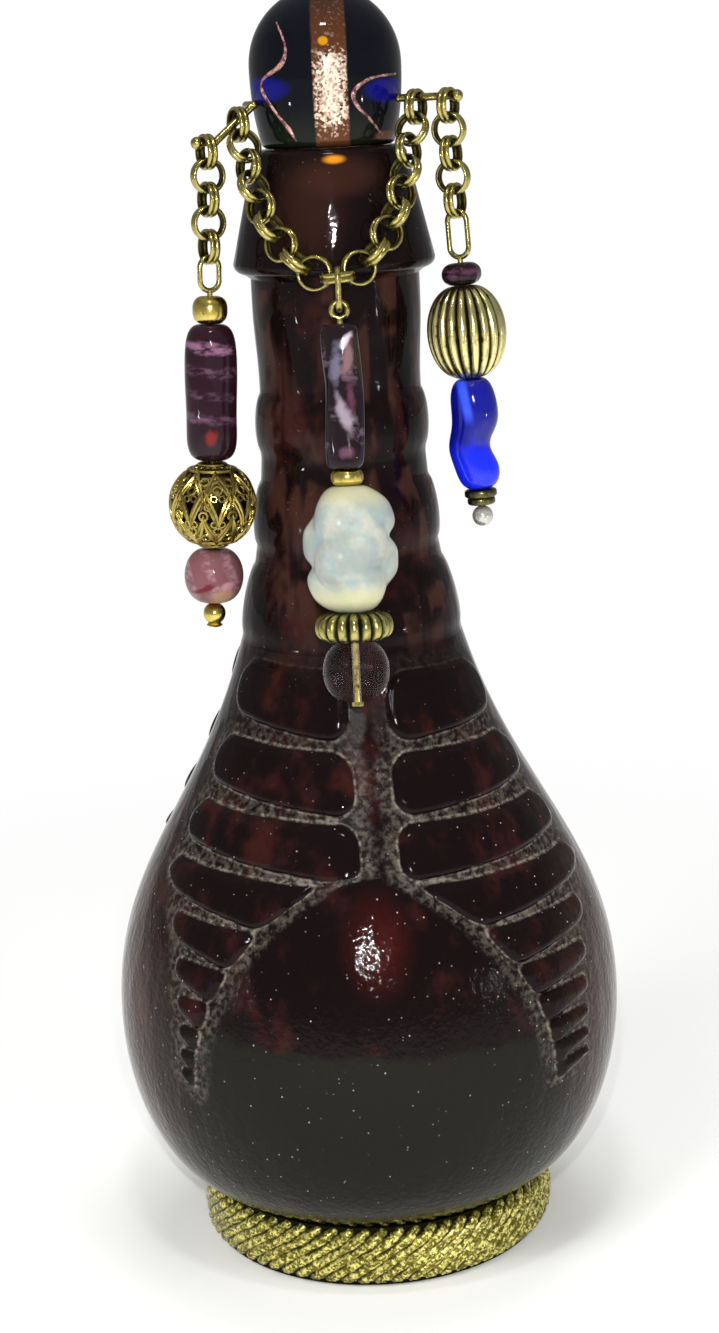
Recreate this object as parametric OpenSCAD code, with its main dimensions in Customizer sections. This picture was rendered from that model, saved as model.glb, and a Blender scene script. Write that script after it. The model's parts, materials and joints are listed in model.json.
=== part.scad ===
// Genie bottle: ribbed amethyst glass with a beaded stopper and three hanging bead strings.
// Millimetres, +Z up, front towards -Y, origin at the centre of the base underside.

/* [Glass] */
// Height of the glass, from the table to the top of the lip
bottle_h = 153; // [145:1:165]
// Largest radius of the belly
body_r = 35.6; // [33:0.1:38]
// Height of the widest part of the belly
body_z = 34; // [31:1:37]
// How far the belly stays upright above its widest part
shoulder_pull = 29; // [25:1:32]
// How far the neck stays upright below its narrowest part
neck_pull = 56; // [50:1:58]
// Radius of the neck at its narrowest
neck_r = 10.9; // [10.4:0.1:11.4]
// Height of the narrow neck between the lip and the first ring
collar_h = 14.5; // [12:0.5:16]
// Radius of the neck straight under the lip
collar_r = 11.3; // [11:0.1:12]
// Radius of the glass foot inside the braid
foot_r = 22.4; // [20:0.1:23]
// Thickness of the glass wall
wall = 2.6; // [2:0.1:3]
// Thickness of the glass base
base_t = 5; // [3:0.5:6]
// Radius of the mouth
mouth_r = 7.3; // [6.5:0.1:7.6]

/* [Lip] */
// Height of the lip
lip_h = 16; // [14:0.5:18]
// Radius of the lip at its top
lip_top_r = 10.3; // [10:0.1:11]
// Radius of the lip at its lower edge
lip_low_r = 13.5; // [13:0.1:14.5]
// Rounding of the lip's edges
lip_round = 1.3; // [0.8:0.1:1.6]

/* [Relief] */
// How far the raised ribs stand out
rib_out = 1; // [0.6:0.1:1.3]
// How far the neck rings stand out
ring_out = 0.8; // [0.5:0.1:1.2]
// Number of rib rows on the shoulder
rib_rows = 8; // [6:1:8]
// Height of the top rib
rib_h = 8; // [7:0.1:9]
// Each rib's height as a share of the one above it
rib_shrink = 0.85; // [0.83:0.01:0.88]
// Depth of the highest rib's upper edge below the lip's top
rib_drop = 67.7; // [66:0.1:69]
// Half width of the plain strip between the left and right ribs
spine_half_w = 2.6; // [1.5:0.1:3.5]
// Angle from the spine at which the highest ribs end
rib_reach = 70; // [60:1:75]
// Largest sideways reach of the lower ribs
rib_side = 27.5; // [25:0.5:29]
// Angle by which the relief is turned to the right
relief_turn = 5; // [0:1:10]
// Half angle of the plain arch under the ribs
arch_half = 43; // [38:1:46]
// Height of the arch's feet
arch_low = 29; // [26:1:31]
// Height of the arch's crown
arch_high = 60.5; // [57:0.5:63]

/* [Foot braid] */
// How far the braid stands out past the glass foot
braid_out = 3; // [2.4:0.1:4]
// Height of the braid
braid_h = 9.2; // [8:0.1:9.6]
// Rounding of the braid's edges
braid_round = 2; // [1:0.1:2.4]

/* [Stopper] */
// Radius of the dome bead
dome_r = 10; // [9.4:0.1:10.2]
// Height of the dome bead
dome_h = 20.4; // [19:0.1:22]
// Radius of the dome's underside
dome_foot_r = 8.7; // [8:0.1:9.2]
// Length of the cork in the neck
cork_l = 18; // [15:0.5:20]
// How much the cork's radius tapers
cork_taper = 0.3; // [0.1:0.05:0.5]
// Radius of the stopper's pin
pin_r = 0.5; // [0.4:0.05:0.6]
// Depth of the pin in the cork
pin_l = 12; // [8:1:13]
// Height of the yoke wire above the lip
yoke_up = 5.8; // [5:0.1:6.5]
// Radius of the yoke's wire
yoke_wire_r = 0.5; // [0.4:0.05:0.55]
// Drop of the yoke's left arm
left_arm_drop = 4.4; // [4:0.1:6.5]

/* [Chain] */
// Radius of the links, to the middle of their wire
link_r = 2.05; // [2.03:0.01:2.1]
// Radius of the links' wire
link_wire_r = 0.27; // [0.24:0.01:0.28]
// Distance from link to link
link_step = 3; // [2.95:0.05:3.05]
// Distance between the two rings of a double link
twin_gap = 0.68; // [0.64:0.02:0.7]
// Height of the swag's lowest point below the lip's top
swag_drop = 15.8; // [14:0.1:18]
// How roundly the swag turns at its lowest point
swag_bend = 0.6; // [0.55:0.05:0.7]

/* [Side strings] */
// Angle of the right string from the front
right_turn = 62; // [56:1:68]
// Angle of the left string from the front
left_turn = 63; // [56:1:68]
// Lean of the right string away from the neck
right_lean = 3.4; // [2:0.1:4.5]
// Lean of the left string away from the neck
left_lean = 2.9; // [2:0.1:4.5]
// Radius of the strings' wire
string_wire_r = 0.35; // [0.3:0.01:0.4]
// Radius of the wire loop that carries a string
loop_r = 1.35; // [1.3:0.01:1.5]
// Length of the left wire loop
left_loop_l = 5; // [4.5:0.1:6]
// Length of the right wire loop
right_loop_l = 6.6; // [5:0.1:8]
// Radius of the left spacer bead
spacer_r = 2.3; // [2:0.1:2.6]
// Height of the left spacer bead
spacer_h = 3.6; // [3:0.1:4]
// Radius of the left tube bead
tube_r = 3.4; // [3:0.1:3.8]
// Height of the left tube bead
tube_h = 17.8; // [15:0.1:20]
// Radius of the left filigree ball
filigree_r = 5.9; // [5:0.1:6.5]
// Thickness of the filigree
filigree_t = 0.6; // [0.5:0.05:0.8]
// Radius of the left pink bead
pink_r = 3.95; // [3.4:0.05:4.4]
// Height of the left pink bead
pink_h = 7.2; // [6:0.1:8]
// Radius of the left end ball
left_ball_r = 1.5; // [1.2:0.1:1.8]
// Radius of the right small bead
small_r = 2.6; // [2.2:0.1:3]
// Height of the right small bead
small_h = 2.9; // [2.4:0.1:3.4]
// Radius of the right melon bead
melon_r = 5.2; // [4.6:0.1:5.6]
// Height of the right melon bead
melon_h = 12; // [10:0.1:13]
// Number of ridges on the melon bead
melon_ridges = 16; // [12:1:20]
// Radius of the right blue bead
blue_r = 3.15; // [2.8:0.05:3.5]
// Height of the right blue bead
blue_h = 14.6; // [12:0.1:16]
// Radius of the right cap
cap_r = 2.15; // [1.9:0.05:2.5]
// Height of the right cap
cap_h = 2.2; // [1.8:0.1:2.6]
// Radius of the right end ball
right_ball_r = 1.4; // [1.2:0.1:1.7]

/* [Centre string] */
// Height of the straight part of the wire link
hook_l = 2.8; // [2:0.1:4]
// Radius of the wire link's bends, to the middle of its wire
hook_r = 1.2; // [1.15:0.01:1.3]
// Radius of the wire link's wire
hook_wire_r = 0.4; // [0.3:0.01:0.42]
// Radius of the pin's eye
eye_r = 1; // [0.95:0.01:1.2]
// Radius of the twisted bead
twist_r = 2.65; // [2.3:0.05:3]
// Height of the twisted bead
twist_h = 18.2; // [15:0.1:20]
// Radius of the brass disc
disc_r = 2.1; // [1.9:0.05:2.4]
// Height of the brass disc
disc_h = 2.1; // [1.6:0.1:2.4]
// Radius of the opal bead
opal_r = 6.3; // [5.6:0.1:6.6]
// Height of the opal bead
opal_h = 16.2; // [14:0.1:18]
// Radius of the fluted rondelle
rondelle_r = 5.1; // [4.6:0.1:5.5]
// Height of the fluted rondelle
rondelle_h = 3.7; // [3:0.1:4]
// Number of flutes on the rondelle
flutes = 18; // [14:1:20]
// Radius of the clear bead
clear_r = 4.3; // [3.8:0.1:4.5]
// Height of the clear bead
clear_h = 7.8; // [7:0.1:8.6]

/* [Clearances] */
// Gap between the dome's underside and the lip
seat_gap = 0.1; // [0.05:0.01:0.2]
// Gap between cork and mouth, all round
cork_gap = 0.07; // [0.05:0.01:0.1]
// Gap between the braid and the glass
braid_gap = 0.15; // [0.05:0.05:0.3]
// Gap all round a wire in its bead
bore_gap = 0.06; // [0.04:0.01:0.1]
// Gap between neighbouring beads
bead_gap = 0.05; // [0.03:0.01:0.1]
// Gap between wires that hang in each other
wire_gap = 0.1; // [0.05:0.01:0.15]
// Gap between the chain and the lip
swag_gap = 0.35; // [0.3:0.05:0.6]
// Gap at which the strings pass the lip when the stopper is lifted
pass_gap = 0.4; // [0.3:0.05:0.8]
// Gap between the hanging clear bead and the shoulder
shoulder_gap = 2; // [1:0.1:3]

/* [Hidden] */
$fn = 48;

// Smallest overlap that joins two solids of one piece
weld = 0.05;

// Outline of the glass
lip_low_z = bottle_h - lip_h;
narrow_z = lip_low_z - collar_h;
function bezier(a, b, c, d, t) =
    pow(1 - t, 3) * a + 3 * pow(1 - t, 2) * t * b + 3 * (1 - t) * t * t * c + t * t * t * d;
shoulder_steps = 26;
shoulder = [for (i = [0:shoulder_steps])
    bezier([body_r, body_z], [body_r, body_z + shoulder_pull], [neck_r, narrow_z - neck_pull],
        [neck_r, narrow_z], i / shoulder_steps)];
bowl_steps = 12;
bowl_pull = 14.4;
bowl_flare = 6.6;
foot_h = braid_h + braid_gap;
braid_r = foot_r + braid_out;
bowl = [for (i = [0:bowl_steps])
    bezier([foot_r, foot_h], [foot_r + bowl_flare, foot_h], [body_r, body_z - bowl_pull],
        [body_r, body_z], i / bowl_steps)];
radius_by_height = [for (p = concat(bowl, shoulder)) [p[1], p[0]]];
function plain_r(z) = lookup(z, radius_by_height);

// Rings round the neck: drop of the upper edge below the lip's top, then height
neck_rings = [[32.2, 7.8], [44, 8.6], [55.4, 9.4]];
function pillow(u) = u <= 0 || u >= 1 ? 0 : pow(sin(180 * u), 0.6);
function ring_bump(z, k = 0) = k >= len(neck_rings) ? 0
    : max(pillow((bottle_h - neck_rings[k][0] - z) / neck_rings[k][1]), ring_bump(z, k + 1));
function collar_bump(z) = z < narrow_z ? 0
    : (collar_r - neck_r) * pow(sin(90 * min(1, (z - narrow_z) / (0.7 * collar_h))), 2);
function outer_r(z) = (z < narrow_z ? plain_r(z) : neck_r + collar_bump(z)) + ring_out * ring_bump(z);
neck_z0 = bottle_h - neck_rings[2][0] - neck_rings[2][1] - 1;
neck_pts = [for (z = [neck_z0:0.9:lip_low_z - lip_round / 2]) [outer_r(z), z]];
lip_pts = concat(
    [for (a = [-90:22.5:0]) [lip_low_r - lip_round + lip_round * cos(a),
        lip_low_z + lip_round + lip_round * sin(a)]],
    [for (a = [0:22.5:90]) [lip_top_r - lip_round + lip_round * cos(a),
        bottle_h - lip_round + lip_round * sin(a)]]);
glass_outline = concat([[0, 0], [foot_r - 1, 0], [foot_r, 1]], bowl,
    [for (p = shoulder) if (p[1] > body_z && p[1] < neck_z0) p], neck_pts, lip_pts, [[0, bottle_h]]);

// Outline of the hollow inside
hollow_step = 4;
floor_in = 6;
floor_side_in = 3;
floor_side_z = foot_h + 0.6;
hollow_rise = 6.4;
hollow_low_z = floor_side_z + hollow_rise;
hollow_outline = concat([[0, base_t], [foot_r - floor_in, base_t], [foot_r - floor_side_in, floor_side_z]],
    [for (z = [hollow_low_z:hollow_step:narrow_z]) [max(mouth_r, plain_r(z) - wall), z]],
    [[mouth_r, narrow_z + hollow_step], [mouth_r, bottle_h - 0.6], [mouth_r + 0.6, bottle_h],
        [mouth_r + 0.6, bottle_h + 1], [0, bottle_h + 1]]);

// Radius of the lip's side at a height, straight above and below it
function lip_side_r(z) = z > bottle_h ? lip_top_r : z < lip_low_z ? lip_low_r
    : lip_low_r + (lip_top_r - lip_low_r) * (z - lip_low_z) / lip_h;

// Stopper
dome_z0 = bottle_h + seat_gap;
dome_z1 = dome_z0 + dome_h;
yoke_z = bottle_h + yoke_up;
yoke_r = dome_r + yoke_wire_r + 0.1;

// Hanging strings: the pivot link is the second double link under the yoke's arm
hang = link_r - link_wire_r - yoke_wire_r - wire_gap;
links_below = 3;
eye_top_s = links_below * link_step + link_r - link_wire_r - string_wire_r - wire_gap;
left_arm_z = yoke_z - left_arm_drop;
left_pivot_z = left_arm_z - hang - link_step;
right_pivot_z = yoke_z - hang - link_step;

// Distances down the left string from its pivot link's centre
left_spacer_s = eye_top_s + left_loop_l;
left_tube_s = left_spacer_s + spacer_h + bead_gap;
left_filigree_s = left_tube_s + tube_h + bead_gap;
left_pink_s = left_filigree_s + 2 * filigree_r + bead_gap;
left_ball_s = left_pink_s + pink_h + bead_gap;

// Distances down the right string from its pivot link's centre
right_small_s = eye_top_s + right_loop_l;
right_melon_s = right_small_s + small_h + bead_gap;
right_blue_s = right_melon_s + melon_h + bead_gap;
right_cap_s = right_blue_s + blue_h + bead_gap;
right_ball_s = right_cap_s + cap_h + bead_gap;

// Distance of each pivot from the bottle's axis, so that the widest bead clears the lip
left_pivot_r = lip_low_r + pass_gap + filigree_r - sin(left_lean) * (left_filigree_s + filigree_r);
right_pivot_r = lip_low_r + pass_gap + melon_r - sin(right_lean) * (right_melon_s + melon_h / 2);
arm_end = 1.3;

// Swag of chain: a curve round the lip, walked in equal steps
swag_off = link_r + link_wire_r + swag_gap;
swag_r0 = lip_top_r + swag_off;
arm_slope = left_arm_drop / (left_pivot_r - arm_end - yoke_r);
left_hang = 0.55;
swag_right_z = yoke_z - hang;
swag_left_z = yoke_z - arm_slope * (swag_r0 - yoke_r) - left_hang;
swag_low_z = bottle_h - swag_drop;
function swag_pt(u) = let (
        side = u < 0.5 ? 1 : -1,
        share = abs(2 * u - 1),
        az = side * share * (side > 0 ? right_turn : left_turn),
        top = side > 0 ? swag_right_z : swag_left_z,
        rise = (norm([share, swag_bend]) - swag_bend) / (norm([1, swag_bend]) - swag_bend),
        z = swag_low_z + (top - swag_low_z) * rise,
        r = lip_side_r(z) + swag_off)
    [r * sin(az), -r * cos(az), z];
swag_samples = 160;
swag_curve = [for (i = [0:swag_samples]) swag_pt(i / swag_samples)];
function run_length(i) = i == 0 ? 0 : run_length(i - 1) + norm(swag_curve[i] - swag_curve[i - 1]);
swag_run = [for (i = [0:swag_samples]) [run_length(i), i / swag_samples]];
swag_total = swag_run[swag_samples][0];
longest_step = link_step + 0.08;
swag_links = 4 * ceil((swag_total / longest_step - 2) / 4) + 2;
swag_step = swag_total / swag_links;
function swag_at(i) = swag_pt(lookup(i * swag_step, swag_run));
function unit(v) = v / norm(v);
function swag_dir(i) = unit(swag_at(min(swag_links, i + 0.2)) - swag_at(max(0, i - 0.2)));

// Centre string: hangs from the front of the swag's lowest double link
swag_mid = swag_at(swag_links / 2);
hook_x = swag_mid[0];
hook_y = swag_mid[1] - link_r;
hook_z = swag_mid[2];
eye_z = hook_z - hook_l - hook_r;
stem_s = eye_r + 0.6;
twist_s = stem_s + 0.2;
disc_s = twist_s + twist_h + bead_gap;
opal_s = disc_s + disc_h + bead_gap;
rondelle_s = opal_s + opal_h + bead_gap;
clear_s = rondelle_s + rondelle_h + bead_gap;
clear_mid_s = clear_s + clear_h / 2;
clear_mid_z = eye_z - clear_mid_s;
// Lean that lets each bead clear the lip or the shoulder
opal_lean = asin((lip_low_r + pass_gap + opal_r + hook_y) / (opal_s + opal_h / 2));
shoulder_lean = asin((plain_r(clear_mid_z - 2) + rib_out + clear_r + shoulder_gap + hook_y) / clear_mid_s);
centre_lean = max(opal_lean, shoulder_lean, 1);

// Frames in which the hanging pieces are drawn
module around(az) {
    rotate([0, 0, az - 90]) children();
}
module on_left() {
    around(-left_turn) translate([left_pivot_r, 0, left_pivot_z]) rotate([0, -left_lean, 0]) children();
}
module on_right() {
    around(right_turn) translate([right_pivot_r, 0, right_pivot_z]) rotate([0, -right_lean, 0])
        children();
}
module on_centre() {
    translate([hook_x, hook_y, eye_z]) rotate([0, 0, -90]) rotate([0, -centre_lean, 0]) children();
}

// Chain pieces
module ring(r, wire_r) {
    rotate_extrude() translate([r, 0]) circle(r = wire_r, $fn = 24);
}
module double_link() {
    for (side = [-1, 1])
        translate([0, 0, side * twin_gap / 2]) ring(link_r, link_wire_r);
}
module hanging_link(k) {
    translate([0, 0, -k * link_step]) rotate(k % 2 == 0 ? [90, 0, 0] : [0, 90, 0]) double_link();
}

// A long wire loop hanging down from its upper bend's centre, in the local XZ plane
module wire_loop(bend_r, wire_r, straight) {
    for (low = [0, 1]) translate([0, 0, -low * straight]) rotate([low == 0 ? 90 : -90, 0, 0])
        rotate_extrude(angle = 180) translate([bend_r, 0]) circle(r = wire_r, $fn = 24);
    for (side = [-1, 1]) translate([side * bend_r, 0, -straight - weld])
        cylinder(r = wire_r - 0.02, h = straight + 2 * weld, $fn = 24);
}

// A wire that runs down through its beads, with a loop on top
module eye_pin(loop_l, end_s) {
    straight = loop_l - 2 * loop_r - 2 * string_wire_r;
    translate([0, 0, -eye_top_s - loop_r]) wire_loop(loop_r, string_wire_r, straight);
    translate([0, 0, -end_s]) cylinder(r = string_wire_r, h = end_s - eye_top_s - straight - 2 * loop_r);
}

// Beads. Each is drawn hanging below its own top, with a hole down its middle.
module bead_hole(h) {
    translate([0, 0, -h - 1]) cylinder(r = string_wire_r + bore_gap, h = h + 2);
}
function bulge(t, end, power) = end + (1 - end) * pow(1 - pow(abs(2 * t - 1), power), 0.5);
module round_bead(r, h, end = 0.35, power = 2) {
    steps = 14;
    difference() {
        rotate_extrude() polygon(concat([[0, -h]],
            [for (i = [0:steps]) [r * bulge(i / steps, end, power), -h + h * i / steps]], [[0, 0]]));
        bead_hole(h);
    }
}
// A bead whose radius changes round its axis: `lobes` ridges, turned by `turns` from end to end
module lobed_bead(r, h, end, power, lobes, depth, turns, around_n, along_n, waist = 0, shift = 0) {
    pts = [for (j = [0:along_n]) for (i = [0:around_n - 1]) let (
            t = (1 - cos(180 * j / along_n)) / 2,
            a = 360 * i / around_n,
            dip = waist * exp(-pow((t - 0.42) / 0.12, 2)),
            ridge = 1 - depth * (1 - cos(lobes * (a - 360 * turns * t))) / 2,
            q = r * bulge(t, end, power) * ridge * (1 - dip))
        [q * cos(a) + shift * sin(180 * t) * (0.5 - t), q * sin(a), -h + h * t]];
    sides = [for (j = [0:along_n - 1]) for (i = [0:around_n - 1]) let (
            k = (i + 1) % around_n,
            a = j * around_n)
        each [[a + i, a + i + around_n, a + k + around_n], [a + i, a + k + around_n, a + k]]];
    ends = [[for (i = [0:around_n - 1]) i],
        [for (i = [around_n - 1:-1:0]) along_n * around_n + i]];
    difference() {
        polyhedron(points = pts, faces = concat(sides, ends), convexity = 4);
        bead_hole(h);
    }
}

// Glass relief: one raised rib between two angles, following the shoulder
module rib(top_z, h, from_az, to_az) {
    steps = 7;
    rotate([0, 0, from_az - 90]) rotate_extrude(angle = to_az - from_az) polygon(concat(
        [for (i = [0:steps]) let (z = top_z - h + h * i / steps)
            [plain_r(z) + rib_out * pillow(i / steps) - weld, z]],
        [[plain_r(top_z) - 1.2, top_z], [plain_r(top_z - h) - 1.2, top_z - h]]));
}
function rib_height(i) = rib_h * pow(rib_shrink, i);
function rib_top(i) = i == 0 ? bottle_h - rib_drop : rib_top(i - 1) - 1.26 * rib_height(i - 1);
function arch_az(z) = z >= arch_high ? 0
    : arch_half * sqrt(1 - pow((z - arch_low) / (arch_high - arch_low), 2));
module ribs() {
    for (i = [0:rib_rows - 1]) {
        top_z = rib_top(i);
        h = rib_height(i);
        mid_r = plain_r(top_z - h / 2);
        inner = max(asin(spine_half_w / mid_r), arch_az(top_z - h / 2));
        outer = min(rib_reach, asin(min(1, rib_side / mid_r)));
        for (back = [0, 180]) {
            rib(top_z, h, relief_turn + back + inner, relief_turn + back + outer);
            rib(top_z, h, relief_turn + back - outer, relief_turn + back - inner);
        }
    }
}

module bottle_glass() {
    color("#2b1a20") difference() {
        union() {
            rotate_extrude($fn = 96) polygon(glass_outline);
            ribs();
        }
        rotate_extrude($fn = 96) polygon(hollow_outline);
    }
}

module foot_braid() {
    inner_r = foot_r + braid_gap;
    color("#8c8330") rotate_extrude($fn = 96) polygon(concat([[inner_r, 0]],
        [for (a = [-90:22.5:0]) [braid_r - braid_round + braid_round * cos(a),
            braid_round + braid_round * sin(a)]],
        [for (a = [0:22.5:90]) [braid_r - braid_round + braid_round * cos(a),
            braid_h - braid_round + braid_round * sin(a)]], [[inner_r, braid_h]]));
}

module cork() {
    top_r = mouth_r - cork_gap;
    color("#b98d5b") difference() {
        translate([0, 0, bottle_h - cork_l])
            cylinder(r1 = top_r - cork_taper, r2 = top_r, h = cork_l + seat_gap);
        translate([0, 0, dome_z0 - pin_l]) cylinder(r = pin_r + 0.02, h = pin_l + 1);
    }
}

module stopper_pin() {
    head_r = 1.3;
    head_h = 0.7;
    color("#b79a3e") {
        translate([0, 0, dome_z0 - pin_l + 0.1])
            cylinder(r = pin_r, h = dome_h + pin_l);
        translate([0, 0, dome_z1 + 0.02]) cylinder(r = head_r, h = head_h);
    }
}

module dome_bead() {
    steps = 8;
    waist_z = dome_z1 - dome_r;
    lower_h = waist_z - dome_z0;
    color("#1b1f4a") difference() {
        rotate_extrude() polygon(concat([[0, dome_z0]],
            [for (i = [0:steps]) let (t = i / steps)
                [dome_r - (dome_r - dome_foot_r) * pow(1 - t, 2.2), dome_z0 + lower_h * t]],
            [for (a = [7.5:7.5:82.5]) [dome_r * cos(a), waist_z + dome_r * sin(a)]],
            [[pin_r + 0.7, dome_z1], [0, dome_z1]]));
        translate([0, 0, dome_z0 - 1]) cylinder(r = pin_r + bore_gap, h = dome_h + 2);
    }
}

module yoke_wire() {
    tip_r = 0.8;
    arm_r = swag_r0 - yoke_r;
    color("#b79a3e") {
        translate([0, 0, yoke_z]) rotate([0, 0, right_turn - 90])
            rotate_extrude(angle = 360 - right_turn - left_turn) translate([yoke_r, 0])
                circle(r = yoke_wire_r, $fn = 24);
        around(right_turn) translate([yoke_r, 0, yoke_z]) {
            sphere(r = yoke_wire_r + 0.04);
            rotate([0, 90, 0]) cylinder(r = yoke_wire_r, h = right_pivot_r + arm_end - yoke_r);
            translate([right_pivot_r + arm_end - yoke_r, 0, 0]) sphere(r = tip_r);
        }
        around(-left_turn) translate([yoke_r, 0, yoke_z]) {
            run = left_pivot_r - arm_end - yoke_r;
            sphere(r = yoke_wire_r + 0.04);
            rotate([0, 90 + atan(arm_slope), 0]) cylinder(r = yoke_wire_r, h = norm([run, left_arm_drop]));
            translate([run, 0, -left_arm_drop]) {
                sphere(r = yoke_wire_r + 0.04);
                rotate([0, 90, 0]) cylinder(r = yoke_wire_r, h = 2 * arm_end);
                translate([2 * arm_end, 0, 0]) sphere(r = tip_r);
            }
        }
    }
}

module neck_chain() {
    color("#b79a3e") {
        for (i = [0:swag_links]) {
            p = swag_at(i);
            t = swag_dir(i);
            out = unit(cross(t, cross([p[0], p[1], 0], t)));
            n = i % 2 == 0 ? out : cross(t, out);
            b = cross(n, t);
            multmatrix([[t[0], b[0], n[0], p[0]], [t[1], b[1], n[1], p[1]], [t[2], b[2], n[2], p[2]],
                [0, 0, 0, 1]]) double_link();
        }
        around(-left_turn) translate([left_pivot_r, 0, left_pivot_z]) upper_links();
        around(right_turn) translate([right_pivot_r, 0, right_pivot_z]) upper_links();
    }
}
module upper_links() {
    for (k = [-1, 0]) hanging_link(k);
}

module left_chain() {
    color("#b79a3e") on_left() for (k = [1:links_below]) hanging_link(k);
}
module left_eye_pin() {
    color("#b79a3e") on_left() eye_pin(left_loop_l, left_ball_s + left_ball_r);
}
module left_spacer() {
    color("#a88a34") on_left() translate([0, 0, -left_spacer_s]) round_bead(spacer_r, spacer_h, 0.5, 3);
}
module left_tube_bead() {
    color("#6b4a63") on_left() translate([0, 0, -left_tube_s])
        lobed_bead(tube_r, tube_h, 0.4, 6, 2, 0.1, 1.3, 24, 16);
}
module left_filigree_ball() {
    color("#a88a34") on_left() translate([0, 0, -left_filigree_s - filigree_r]) difference() {
        sphere(r = filigree_r);
        sphere(r = filigree_r - filigree_t);
        cylinder(r = string_wire_r + bore_gap, h = 2 * filigree_r + 1, center = true);
        for (row = [-1, 0, 1]) for (i = [0:7])
            rotate([0, 0, 45 * (i + (row == 0 ? 0.5 : 0))]) rotate([0, 90 - 38 * row, 0])
                translate([0, 0, filigree_r / 2]) cylinder(r = 1.3, h = filigree_r);
    }
}
module left_pink_bead() {
    color("#b07f86") on_left() translate([0, 0, -left_pink_s]) round_bead(pink_r, pink_h);
}
module end_ball(r) {
    difference() {
        translate([0, 0, -r]) sphere(r = r);
        translate([0, 0, -r]) cylinder(r = string_wire_r + bore_gap / 3, h = r + 1);
    }
}
module left_end_ball() {
    color("#b79a3e") on_left() translate([0, 0, -left_ball_s]) end_ball(left_ball_r);
}

module right_chain() {
    color("#b79a3e") on_right() for (k = [1:links_below]) hanging_link(k);
}
module right_eye_pin() {
    color("#b79a3e") on_right() eye_pin(right_loop_l, right_ball_s + right_ball_r);
}
module right_small_bead() {
    color("#4a2f45") on_right() translate([0, 0, -right_small_s]) round_bead(small_r, small_h, 0.4, 2.5);
}
module right_melon_bead() {
    color("#b79a3e") on_right() translate([0, 0, -right_melon_s])
        lobed_bead(melon_r, melon_h, 0.22, 2, melon_ridges, 0.09, 0, 4 * melon_ridges, 12);
}
module right_blue_bead() {
    color("#1a24c8") on_right() translate([0, 0, -right_blue_s])
        lobed_bead(blue_r, blue_h, 0.35, 5, 1, 0.08, 0.5, 24, 16, 0.1, 0.9);
}
module right_cap() {
    color("#4d4526") on_right() translate([0, 0, -right_cap_s]) round_bead(cap_r, cap_h, 0.6, 3);
}
module right_end_ball() {
    color("#c9c9c4") on_right() translate([0, 0, -right_ball_s]) end_ball(right_ball_r);
}

module centre_hook() {
    color("#b79a3e") translate([hook_x, hook_y, hook_z]) rotate([0, 0, 90])
        wire_loop(hook_r, hook_wire_r, hook_l);
}
module centre_pin() {
    head_r = 0.8;
    head_h = 0.6;
    end_s = clear_s + clear_h + bead_gap + head_h;
    color("#b79a3e") {
        translate([hook_x, hook_y, eye_z]) rotate([90, 0, 0]) ring(eye_r, string_wire_r);
        on_centre() {
            translate([0, 0, -end_s]) cylinder(r = string_wire_r, h = end_s - eye_r);
            translate([0, 0, -end_s]) cylinder(r = head_r, h = head_h);
        }
    }
}
module centre_twist_bead() {
    color("#7a5a72") on_centre() translate([0, 0, -twist_s])
        lobed_bead(twist_r, twist_h, 0.5, 8, 3, 0.16, 1.1, 24, 18);
}
module centre_disc() {
    color("#b79a3e") on_centre() translate([0, 0, -disc_s]) round_bead(disc_r, disc_h, 0.7, 3);
}
module centre_opal_bead() {
    color("#d9dcd6") on_centre() translate([0, 0, -opal_s])
        lobed_bead(opal_r, opal_h, 0.3, 2.6, 3, 0.2, 0.9, 36, 18);
}
module centre_rondelle() {
    color("#a88a34") on_centre() translate([0, 0, -rondelle_s])
        lobed_bead(rondelle_r, rondelle_h, 0.55, 3, flutes, 0.14, 0, 5 * flutes, 8);
}
module centre_clear_bead() {
    color("#c8b6c6", 0.6) on_centre() translate([0, 0, -clear_s]) round_bead(clear_r, clear_h, 0.3, 2);
}

bottle_glass();
foot_braid();
cork();
stopper_pin();
dome_bead();
yoke_wire();
neck_chain();
left_chain();
left_eye_pin();
left_spacer();
left_tube_bead();
left_filigree_ball();
left_pink_bead();
left_end_ball();
right_chain();
right_eye_pin();
right_small_bead();
right_melon_bead();
right_blue_bead();
right_cap();
right_end_ball();
centre_hook();
centre_pin();
centre_twist_bead();
centre_disc();
centre_opal_bead();
centre_rondelle();
centre_clear_bead();
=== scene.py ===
"""The looks of a genie bottle: ribbed amethyst glass, a braided foot, a beaded stopper and its chains.

The solid part is loaded as a fixed frame. The visible pieces are modelled here in millimetres, in the
part's own frame, and put in metres as they are finished; the cork, the pins, the hooks and the yoke keep
their CAD shape and only get a material."""
import json
import math
import random

import bmesh
import bpy
import numpy as np
from bpy.props import (
    FloatProperty, FloatVectorProperty, IntProperty, PointerProperty, StringProperty,
)
from mathutils import Matrix, Vector


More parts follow.
